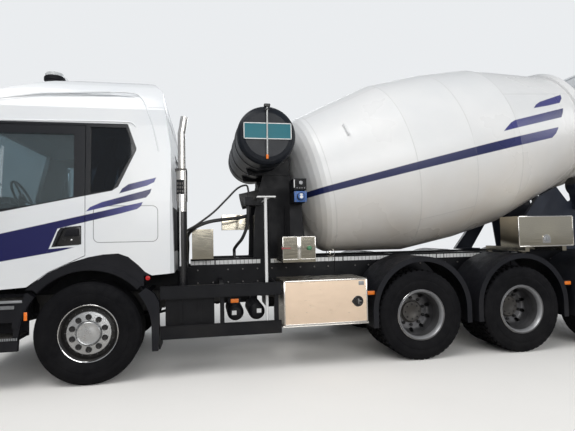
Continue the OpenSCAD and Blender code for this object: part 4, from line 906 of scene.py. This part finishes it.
def markers():
    """Amber side markers, each in its black holder on a bracket between two stations."""
    for name, u, z, y, back_u0, back_u1 in (
            ("marker_front", 1511, 789, 1150, 1440, 1580), ("marker_toolbox", 3098, 813, 1186, 3036, 3104),
            ("marker_axles", 5759, 825, 1186, 5712, 5806)):
        holder = joined([block(u - 52, u + 52, y - 10, y + 4, z - 30, z + 30, 4),
                         block(back_u0, back_u1, y - 16, y - 8, z - 22, z + 34, 2)])
        both(holder, name + "_holder", "black_plastic")
        both(block(u - 44, u + 44, y + 3, y + 16, z - 22, z + 22, 5, 3), name + "_lens", "amber_lens")


def toolbox_dress():
    """Rolled edge, lock, grip and blank plate of the toolbox door, and the rail below it."""
    done(framed(2055, 3035, 492, 990, 1239, 14, 3), "toolbox_edge", "bright_edge", "toolbox_door")
    lock = turned([(1236, 0), (1236, 62), (1245, 62), (1251, 55), (1251, 44), (1245, 38), (1245, 0)],
                  at(2921, 0, 732), steps=40)
    tip = plate([at(u, 1239, z) for u, z in [(2880, 778), (2880, 686), (2846, 726), (2846, 738)]],
                (0, 6, 0), 2)
    done(joined([lock, tip]), "toolbox_lock", "gloss_black", "toolbox_door")
    grip = joined([block(2912, 2930, 1243, 1262, 700, 764, 5), block(2930, 2960, 1244, 1250, 724, 740, 2)])
    done(grip, "toolbox_grip", "worn_steel", "toolbox_door")
    done(block(2932, 2997, 1239, 1240.6, 915, 962, 1), "toolbox_plate", "grey_plate", "toolbox_door")
    rail = joined([block(2040, 3050, 1204, 1226, 478, 492, 3), block(2040, 3050, 760, 1226, 470, 479, 2)])
    done(rail, "toolbox_shelf", "bright_edge")


def small_boxes_dress():
    """Edges, catch and knob of the two small boxes."""
    for u, word in ((2075, "front"), (2285, "rear")):
        done(framed(u, u + 180, 1222, 1486, 1100, 6, 3, 1), "small_box_edge_" + word, "bright_edge")
    done(block(2257, 2283, 1088, 1104, 1224, 1484, 3), "small_box_strip", "bright_edge")
    catch = joined([block(2063, 2170, 1102, 1112, 1348, 1360, 3),
                    block(2063, 2080, 1096, 1116, 1342, 1366, 4)])
    done(catch, "small_box_catch", "red_paint")
    handle = turned([(1100, 0), (1100, 16), (1114, 16), (1116, 26), (1128, 27), (1132, 20), (1132, 0)],
                    at(2388, 0, 1352), steps=10)
    done(handle, "small_box_knob", "green_knob")


def rear_box_dress():
    """Edge, lock and straps of the polished box over the rear axles."""
    done(framed(5070, 5870, 1300, 1688, 1206, 13, 4), "rear_box_edge", "bright_edge")
    arch = [at(5468 - 60 * math.cos(math.radians(a)), 1206, 1402 + 52 * math.sin(math.radians(a)))
            for a in range(0, 181, 15)]
    lock_plate = plate([at(5528, 1206, 1340), at(5408, 1206, 1340)] + arch, (0, 7, 0), 2)
    done(lock_plate, "rear_box_lock_plate", "bright_edge")
    core = knob(1212, 1218, 40, (2, 6), at(5468, 0, 1396), steps=32)
    done(joined([core, block(5460, 5476, 1216, 1226, 1370, 1420, 4)]), "rear_box_lock", "grey_plate")
    straps = [block(u, u + 40, 850, 860, 1310, 1680, 3) for u in (5170, 5700)]
    done(joined(straps), "rear_box_straps", "chassis_paint")


def control_panel():
    """Knob, buttons and blank label of the upper box, and the blue socket box below it."""
    done(knob(1024, 1038, 24, (4, 5), at(2320, 0, 2125), steps=28), "control_knob", "grey_plate")
    dots = [knob(998, 1008, 7, (2, 3), at(u, 0, 2066), steps=14) for u in (2280, 2310, 2340, 2370)]
    done(joined(dots), "control_buttons", "grey_plate")
    done(block(2241, 2253, 1000, 1003, 2070, 2165, 1), "control_label", "tape_white")
    done(block(2243, 2397, 999, 1003, 1898, 2028, 3), "socket_box_front", "blue_plastic")
    done(knob(1028, 1042, 40, (6, 7), at(2320, 0, 1963), steps=36), "socket_lid", "blue_plastic")
    core = joined([turned([(1040, 0), (1040, 20), (1046, 18), (1046, 0)], at(2322, 0, 1955), steps=24),
                   block(2305, 2337, 1038, 1046, 1976, 1996, 3)])
    done(core, "socket_face", "tape_white")
    bolts = [turned([(998, 0), (998, 8), (1004, 8), (1004, 0)], at(u, 0, z), steps=6)
             for u in (2258, 2382) for z in (1908, 2018)]
    done(joined(bolts), "socket_bolts", "worn_steel")


def water_tank_dress():
    """Border of the blank sign, and the clear level tube with its float and clip."""
    done(framed(1647, 2213, 2632, 2825, 1062, 10, 2, 0.8), "sign_border", "tape_white")
    tube = pipe([at(1927, 1060, 3010), at(1925, 1074, 2985), at(1921, 1074, 2700), at(1918, 1074, 2430),
                 at(1918, 1050, 2405)], 9)
    done(tube, "level_tube", "clear_tube")
    level = turned([(-26, 0), (-26, 15), (20, 15), (26, 11), (26, 0)], at(1918, 1074, 2425),
                   (0, 0, 1), (0, 1, 0), 20)
    done(level, "level_float", "amber_lens")
    clip = joined([block(1890, 1965, 1030, 1076, 3018, 3052, 8),
                   block(1900, 1950, 1040, 1084, 2968, 2990, 5)])
    done(clip, "level_clip", "gloss_black")


def subframe_dress():
    """The eye that holds the hose, bolt heads along the frame, and the air tanks' blank labels."""
    eye = turned([(0, 56), (6, 60), (12, 56), (6, 51), (0, 56)], at(2831, 450, 1262), steps=40)
    done(joined([block(2820, 2842, 400, 452, 1240, 1284, 3), eye]), "hose_eye", "bright_edge")
    upper = row(knob(395, 407, 11, (2, 3), at(1100, 0, 1080)), 30, (-190, 0, 0))
    both(joined([upper, copy_of(upper, (0, 0, -0.16))]), "frame_bolts", "worn_steel")
    for i, (u, z) in enumerate(((1510, 643), (1792, 653))):
        label = block(u - 26, u + 26, 1079, 1081.5, z - 24, z + 24, 0.8, 1)
        done(label, "air_tank_label_%d" % (i + 1), "tape_white")


def exhaust_dress():
    """The slotted shield round the stack, the clamp above it, and a thin white bar beside it that is a
    painted highlight.
    """
    slots = [block(u, u + 12, 1026, 1029, z, z + 26, 1, 1)
             for u in (894, 919, 944) for z in (2012, 2056, 2100)]
    done(block(884, 966, 1004, 1027, 1993, 2156, 6), "exhaust_shield", "black_plastic")
    done(joined(slots), "exhaust_shield_slots", "worn_steel")
    # A thin white bar painted in as the highlight along the edge of the exhaust's heat shield
    done(pipe([at(921, 1026, 1180), at(921, 1026, 1700), at(923, 1022, 1996)], 9), "shield_highlight_line", "tape_white")
    clamp = turned([(0, 48), (0, 66), (26, 66), (26, 48), (0, 48)], at(931, 950, 2262),
                   (0, 0, 1), (1, 0, 0), 40)
    done(clamp, "exhaust_clamp", "worn_steel")


# Cab

def side_form(points, y0, y1):
    """A prism across the truck on a side outline, given as (u, z)."""
    return plate([at(u, y0, z) for u, z in points], (0, y1 - y0, 0))


def front_form(half, u0, u1):
    """A prism along the truck on half of a front outline, given as (y, z) from the bottom up."""
    return plate([at(u0, y, z) for y, z in half + mirrored(half)], (u0 - u1, 0, 0))


def wall_y(z):
    """How far out the cab's side stands at a height."""
    slopes = [(1900, 1240), (2720, 1203), (2900, 1183), (3040, 1135)]
    for (z0, y0), (z1, y1) in zip(slopes, slopes[1:]):
        if z <= z1:
            return y0 + (y1 - y0) * max(0.0, z - z0) / (z1 - z0)
    return slopes[-1][1]


def roof():
    """The high roof's skin over the cab's body, its side bead and the drip rail over the doors."""
    side = [(-1134, 2700), (-1134, 2801), (-1064, 2962), (-1057, 2977), (-896, 3094), (-789, 3132),
            (-687, 3168), (-600, 3199), (-500, 3227), (-400, 3249), (-272, 3266), (-84, 3280), (84, 3285),
            (457, 3282), (620, 3272), (664, 3244), (700, 3190), (748, 3137), (773, 2961), (811, 2700)]
    front = [(1210, 2700), (1185, 2902), (1137, 3042), (1092, 3118), (1040, 3186), (975, 3244), (900, 3277),
             (765, 3287)]
    inner_side = [(-1300, 2700), (-1052, 2950), (-886, 3080), (-595, 3182), (-233, 3202), (600, 3202),
                  (684, 3180), (732, 3122), (756, 2950), (780, 2700)]
    inner_front = [(1190, 2700), (1171, 2895), (1124, 3030), (1017, 3127), (820, 3187), (600, 3203)]
    # The skin ends along the line of the bead, where the cab's own body takes over
    below = [(-1500, 2500), (-1500, 2966), (-1064, 2964), (-873, 2954), (-491, 3022), (204, 3064),
             (440, 3052), (600, 2927), (1000, 2925), (1000, 2500)]
    skin = cut_by(side_form(side, -1300, 1300), front_form(front, -1200, 900), "INTERSECT")
    applied(skin, "BEVEL", width=0.022, segments=3, limit_method="ANGLE", angle_limit=math.radians(38))
    inner = cut_by(side_form(inner_side, -1290, 1290), front_form(inner_front, -1310, 800), "INTERSECT")
    cut_by(skin, inner)
    cut_by(skin, side_form(below, -1400, 1400))
    done(skin, "high_roof", "cab_paint", "cab", 40)
    bead = [(-1010, 2940), (-873, 2978), (-491, 3046), (204, 3089), (440, 3089), (500, 3066), (612, 2838),
            (672, 2626), (712, 2440)]
    rail = [(-1070, 2741), (-600, 2744), (380, 2752), (440, 2742), (474, 2706)]
    for line, proud, radius, name in ((bead, 1, 7, "roof_bead"), (rail, 2, 8, "drip_rail")):
        both(pipe([at(u, wall_y(z) + proud, z) for u, z in line], radius), name, "cab_paint", "cab")


def front_lamps():
    """Headlamps and indicators, and the small lamp and reflector on the cab's side."""
    outline = [(-1330, 645), (-1422, 645), (-1420, 700), (-1407, 880), (-1386, 985), (-1330, 1002)]
    both(plate([at(u, y, 648) for u, y in outline], (0, 0, 166), 7, 2), "headlamp_lens", "clear_lens")
    bowls = [turned([(10, 0), (12, 30), (26, 56), (34, 64), (38, 64), (38, 58), (30, 50), (18, 24), (16, 0)],
                    at(-1384, y, 731), (1, 0, 0), steps=32) for y in (724, 872)]
    both(joined(bowls), "headlamp_bowls", "polished")
    both(block(-1392, -1352, 965, 1002, 668, 796, 6), "indicator_lens", "amber_lens")
    both(block(-600, -568, 1242, 1250, 699, 783, 4), "wing_lamp", "amber_lens")
    both(knob(1236, 1246, 24, (2, 6), at(596, 0, 1082), steps=28), "wing_reflector", "red_lens", "cab")


def roof_beacon():
    """The beacon's clear dome, its foot, and two rings between them."""
    def upright(outline):
        return turned(outline, at(-506, 650, 3335), (0, 0, 1), (1, 0, 0), 48)

    dome = upright([(60, 0), (60, 100), (86, 100), (100, 89), (109, 60), (109, 0)])
    done(dome, "beacon_dome", "clear_lens", "cab")
    done(upright([(-62, 0), (-62, 98), (4, 104), (12, 100), (12, 0)]), "beacon_foot", "black_plastic", "cab")
    ring = upright([(14, 108), (14, 113), (22, 113), (22, 108), (14, 108)])
    done(joined([ring, copy_of(ring, (0, 0, 0.02))]), "beacon_base_rings", "black_plastic", "cab")


def door_dress():
    """Handle, its cup and lock, and the mirrors' glass."""
    cup = [(-306, 1446), (-238, 1602), (-212, 1628), (-72, 1636), (-70, 1462), (-92, 1448)]
    on_doors(plate([at(u, 1211, z) for u, z in cup], (0, 11, 0), 5, 3), "door_handle_cup", "gloss_black")
    grip = [(-232, 1540), (-206, 1600), (-190, 1614), (-92, 1618), (-86, 1610), (-86, 1548), (-94, 1540)]
    on_doors(plate([at(u, 1218, z) for u, z in grip], (0, 18, 0), 6, 3), "door_handle", "black_plastic")
    on_doors(knob(1222, 1230, 10, (1, 2), at(-161, 0, 1500), steps=24), "door_lock", "polished")
    glass = joined([block(-949, -944, 1384, 1501, low, top, 2) for low, top in ((2140, 2560), (1992, 2118))])
    on_doors(glass, "mirror_glass", "mirror_glass")


def steps():
    """Treads of the steps below the doors."""
    edge = block(-1096, -616, 1241, 1247, 878, 903, 2)
    grip = row(block(-1094, -1086, 1240, 1244, 818, 852, 1, 1), 37, (-11, 0, 0))
    low = row(block(-1092, -1078, 1244, 1249, 506, 531, 1, 1), 21, (-21, 0, 0))
    both(joined([edge, grip, low]), "step_edges", "grey_plate")
    ribs = [row(block(-1090, -1082, 985, 1240, z, z + 4), count, (-14, 0, 0))
            for z, count in ((905, 33), (533, 31))]
    both(joined(ribs), "step_ribs", "worn_steel")


def screen_x(z):
    """How far ahead of the front axle the windscreen stands at a height."""
    return 1400 - 0.2673 * (z - 1790)


def front_dress():
    """Wipers, and the blank badge field and number plate."""
    arms = []
    for y0, y1, top in ((-620, -40, 1915), (160, 760, 1925)):
        middle_y, reach = (y0 + y1) / 2, screen_x(top)
        arms.append(pipe([at(-screen_x(1830) - 26, y0, 1826), at(-screen_x(1850) - 34, y0 + 60, 1846),
                          at(-reach - 22, middle_y + 60, top - 18)], 9))
        arms.append(pipe([at(-screen_x(1875) - 12, y0 + 40, 1872), at(-reach - 15, middle_y, top - 22),
                          at(-reach - 12, y1, top + 6)], 8))
        arms.append(knob(0, 36, 22, (6, 6), at(-screen_x(1830) - 8, y0, 1826), (1, 0, 0), 20))
    done(joined(arms), "wipers", "black_plastic", "cab")
    done(block(-1449, -1441, -330, 330, 1672, 1722, 3), "front_badge_field", "grey_plate", "cab")
    done(block(-1446, -1438, -260, 260, 560, 680, 3), "front_number_plate", "tape_white")


def inside():
    """Seat bases, dash, steering wheel and its column, and the bunk behind the seats."""
    z0 = cab_floor
    bases = [block(-420, -120, y - 160, y + 160, z0, z0 + 296, 8) for y in (-seat_y, seat_y)]
    outline = [(-1180, 0), (-1180, 560), (-1080, 620), (-880, 560), (-900, 420), (-1020, 380), (-1020, 0)]
    dash = plate([at(u, -1090, z0 + h) for u, h in outline], (0, 2180, 0), 14, 3)
    bunk = block(720, 866, -1100, 1100, z0, z0 + 500, 18, 3)
    hood = plate([at(u, 440, z0 + h) for u, h in [(-1000, 560), (-1000, 650), (-900, 640), (-878, 560)]],
                 (0, 400, 0), 10, 3)
    fixed = done(joined(bases + [dash, bunk, hood]), "cab_furniture", "interior", "cab")
    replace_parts(fixed, "cab_interior")
    tilt = math.radians(65)
    axis = Vector((-math.sin(tilt), 0, math.cos(tilt)))
    centre, flat = at(-840, seat_y, z0 + 640), Vector((0, 1, 0))
    rim = [(14 * math.cos(k * math.pi / 6), 210 + 14 * math.sin(k * math.pi / 6)) for k in range(13)]
    boss = [(-26, 0), (-26, 46), (0, 62), (14, 60), (20, 40), (20, 0)]
    wheel = [turned(rim, centre, axis, flat, 56), turned(boss, centre, axis, flat, 40)]
    for turn in (-20, 200, 90):
        way = flat * math.cos(math.radians(turn)) - axis.cross(flat) * math.sin(math.radians(turn))
        wheel.append(pipe([centre + way * 0.04, centre + way * 0.208], 12))
    wheel.append(pipe([at(-960, seat_y, z0 + 520), centre], 30))
    done(joined(wheel), "steering_wheel", "black_plastic", "cab")


def pad(corners, half_wide, crown, pull):
    """A stuffed pad at the driver's seat, on a side outline of four corners above the cab's floor.

    The long side comes first. Its faces are crowned with sewn channels, and its sides are pulled in.
    """
    corners = [at(u, seat_y - half_wide, cab_floor + h) for u, h in corners]
    piece = plate(corners, (0, 2 * half_wide, 0))
    opened(piece)
    bpy.ops.mesh.subdivide(number_cuts=9)
    settled(closed(piece))
    first, second, third = corners[:3]
    along_it, through = (second - first) / 2, (third - second) / 2
    reach = half_wide / 1000
    centre = first + along_it + through + Vector((0, reach, 0))
    for point in piece.data.vertices:
        off = point.co - centre
        a = off.dot(along_it) / along_it.length_squared
        b = off.y / reach
        c = off.dot(through) / through.length_squared
        channel = 0.12 * crown * math.cos(a * math.pi * 3)
        swell = (crown * (1 - a * a) * (1 - b * b) + channel * (1 - b ** 4)) * c
        point.co += through.normalized() * swell / 1000
        point.co -= along_it.normalized() * pull * a ** 3 * (1 - b * b) / 1000
        point.co.y -= pull * b ** 3 * (1 - a * a) / 1000
    return applied(piece, "SUBSURF", levels=1, render_levels=1)


def seats():
    """The driver's padded seat with headrest, posts and piping, and its copy on the other side."""
    cushion = pad([(-530, 290), (-34, 290), (-34, 428), (-530, 428)], 262, 16, 5)
    back = pad([(-14, 300), (168, 1130), (52, 1130), (-150, 412)], 242, 14, 5)
    rest = pad([(132, 1150), (178, 1330), (92, 1330), (52, 1150)], 140, 10, 4)
    posts = joined([pipe([at(100, seat_y + s, cab_floor + 1110), at(116, seat_y + s, cab_floor + 1170)], 6)
                    for s in (-55, 55)])
    line = [(-528, -250, 424), (-528, 250, 424), (-60, 250, 426), (-60, -250, 426), (-528, -250, 424)]
    piping = pipe([at(u, seat_y + s, cab_floor + h) for u, s, h in line], 4, False)
    made = [cushion, back, rest, posts, piping]
    copies = [copy_of(piece, (0, -2 * seat_y / 1000, 0)) for piece in made]
    for word, (cushion, back, rest, posts, piping) in (("left", made), ("right", copies)):
        for piece, name in ((cushion, "seat_cushion_"), (back, "seat_back_")):
            done(piece, name + word, "seat_cloth", "cab", 60)
        done(rest, "headrest_" + word, "seat_cloth", "cab", 60)
        done(posts, "headrest_posts_" + word, "polished", "cab")
        done(piping, "seat_piping_" + word, "seat_piping", "cab")


# Rear

def rear_dress():
    """Round rear lamps, the blank number plate and the reflectors."""
    for y, finish, word in ((742, "red_lens", "stop"), (852, "amber_lens", "turn"), (962, "red_lens", "tail"),
                            (1062, "clear_lens", "reverse")):
        lens = turned([(0, 0), (0, 44), (12, 44), (20, 38), (24, 24), (25, 0)], at(7228, y, 490), (-1, 0, 0),
                      steps=36)
        both(lens, "rear_lens_" + word, finish)
    done(block(7189, 7196, -260, 260, 440, 540, 3), "rear_number_plate", "tape_white")
    both(block(7189, 7194, 560, 660, 452, 528, 2, 1), "rear_reflectors", "red_lens")


def rear_bolts():
    """Bolts up the hopper's posts and up the end plates of the frame."""
    posts = knob(0, 11, 10, (2, 3), at(7090, 672, 2300), (1, 0, 0))
    both(row(posts, 9, (0, 0, 140)), "post_bolts", "worn_steel")
    ends = knob(0, 12, 11, (2, 3), at(7190, 330, 790), (-1, 0, 0))
    both(row(ends, 3, (0, 0, 70)), "end_plate_bolts", "worn_steel")


# Floor

def floor():
    """A pale floor that takes on the backdrop's tone far from the truck, where the camera sees it."""
    t = Tree("pale_floor")
    seen = t.add("ShaderNodeLightPath").outputs["Is Camera Ray"]
    pale = t.blend(t.cloud(0.6, 3.0), (0.96, 0.95, 0.93, 1), (0.93, 0.92, 0.90, 1))
    x, y = t.along((1, 0, 0)), t.along((0, 1, 0))
    away = t.sum("SQRT", t.sum("ADD", t.sum("MULTIPLY", x, x), t.sum("MULTIPLY", y, y)))
    far = t.span(away, 7.0, 16.0)
    tone = t.blend(far, pale, (0, 0, 0, 1))
    t.set(Base_Color=t.blend(seen, (0.50, 0.48, 0.45, 1), tone), Roughness=0.9, Specular_IOR_Level=0.0)
    t.set(Emission_Color=backdrop,
          Emission_Strength=t.sum("MULTIPLY", t.sum("MULTIPLY", far, seen), backdrop_strength))
    begin()
    bpy.ops.mesh.primitive_plane_add(size=120, location=(0, 0, 0))
    plane = bpy.context.object
    plane.name = "studio_floor"
    plane.data.materials.append(t.material)


for make in (roof, front_lamps, roof_beacon, door_dress, steps, front_dress, inside, seats, exhaust_dress,
             rear_dress, rear_bolts, wheels, tape, markers, toolbox_dress, small_boxes_dress, rear_box_dress,
             control_panel, water_tank_dress, subframe_dress, photo_camera, studio, floor):
    make()
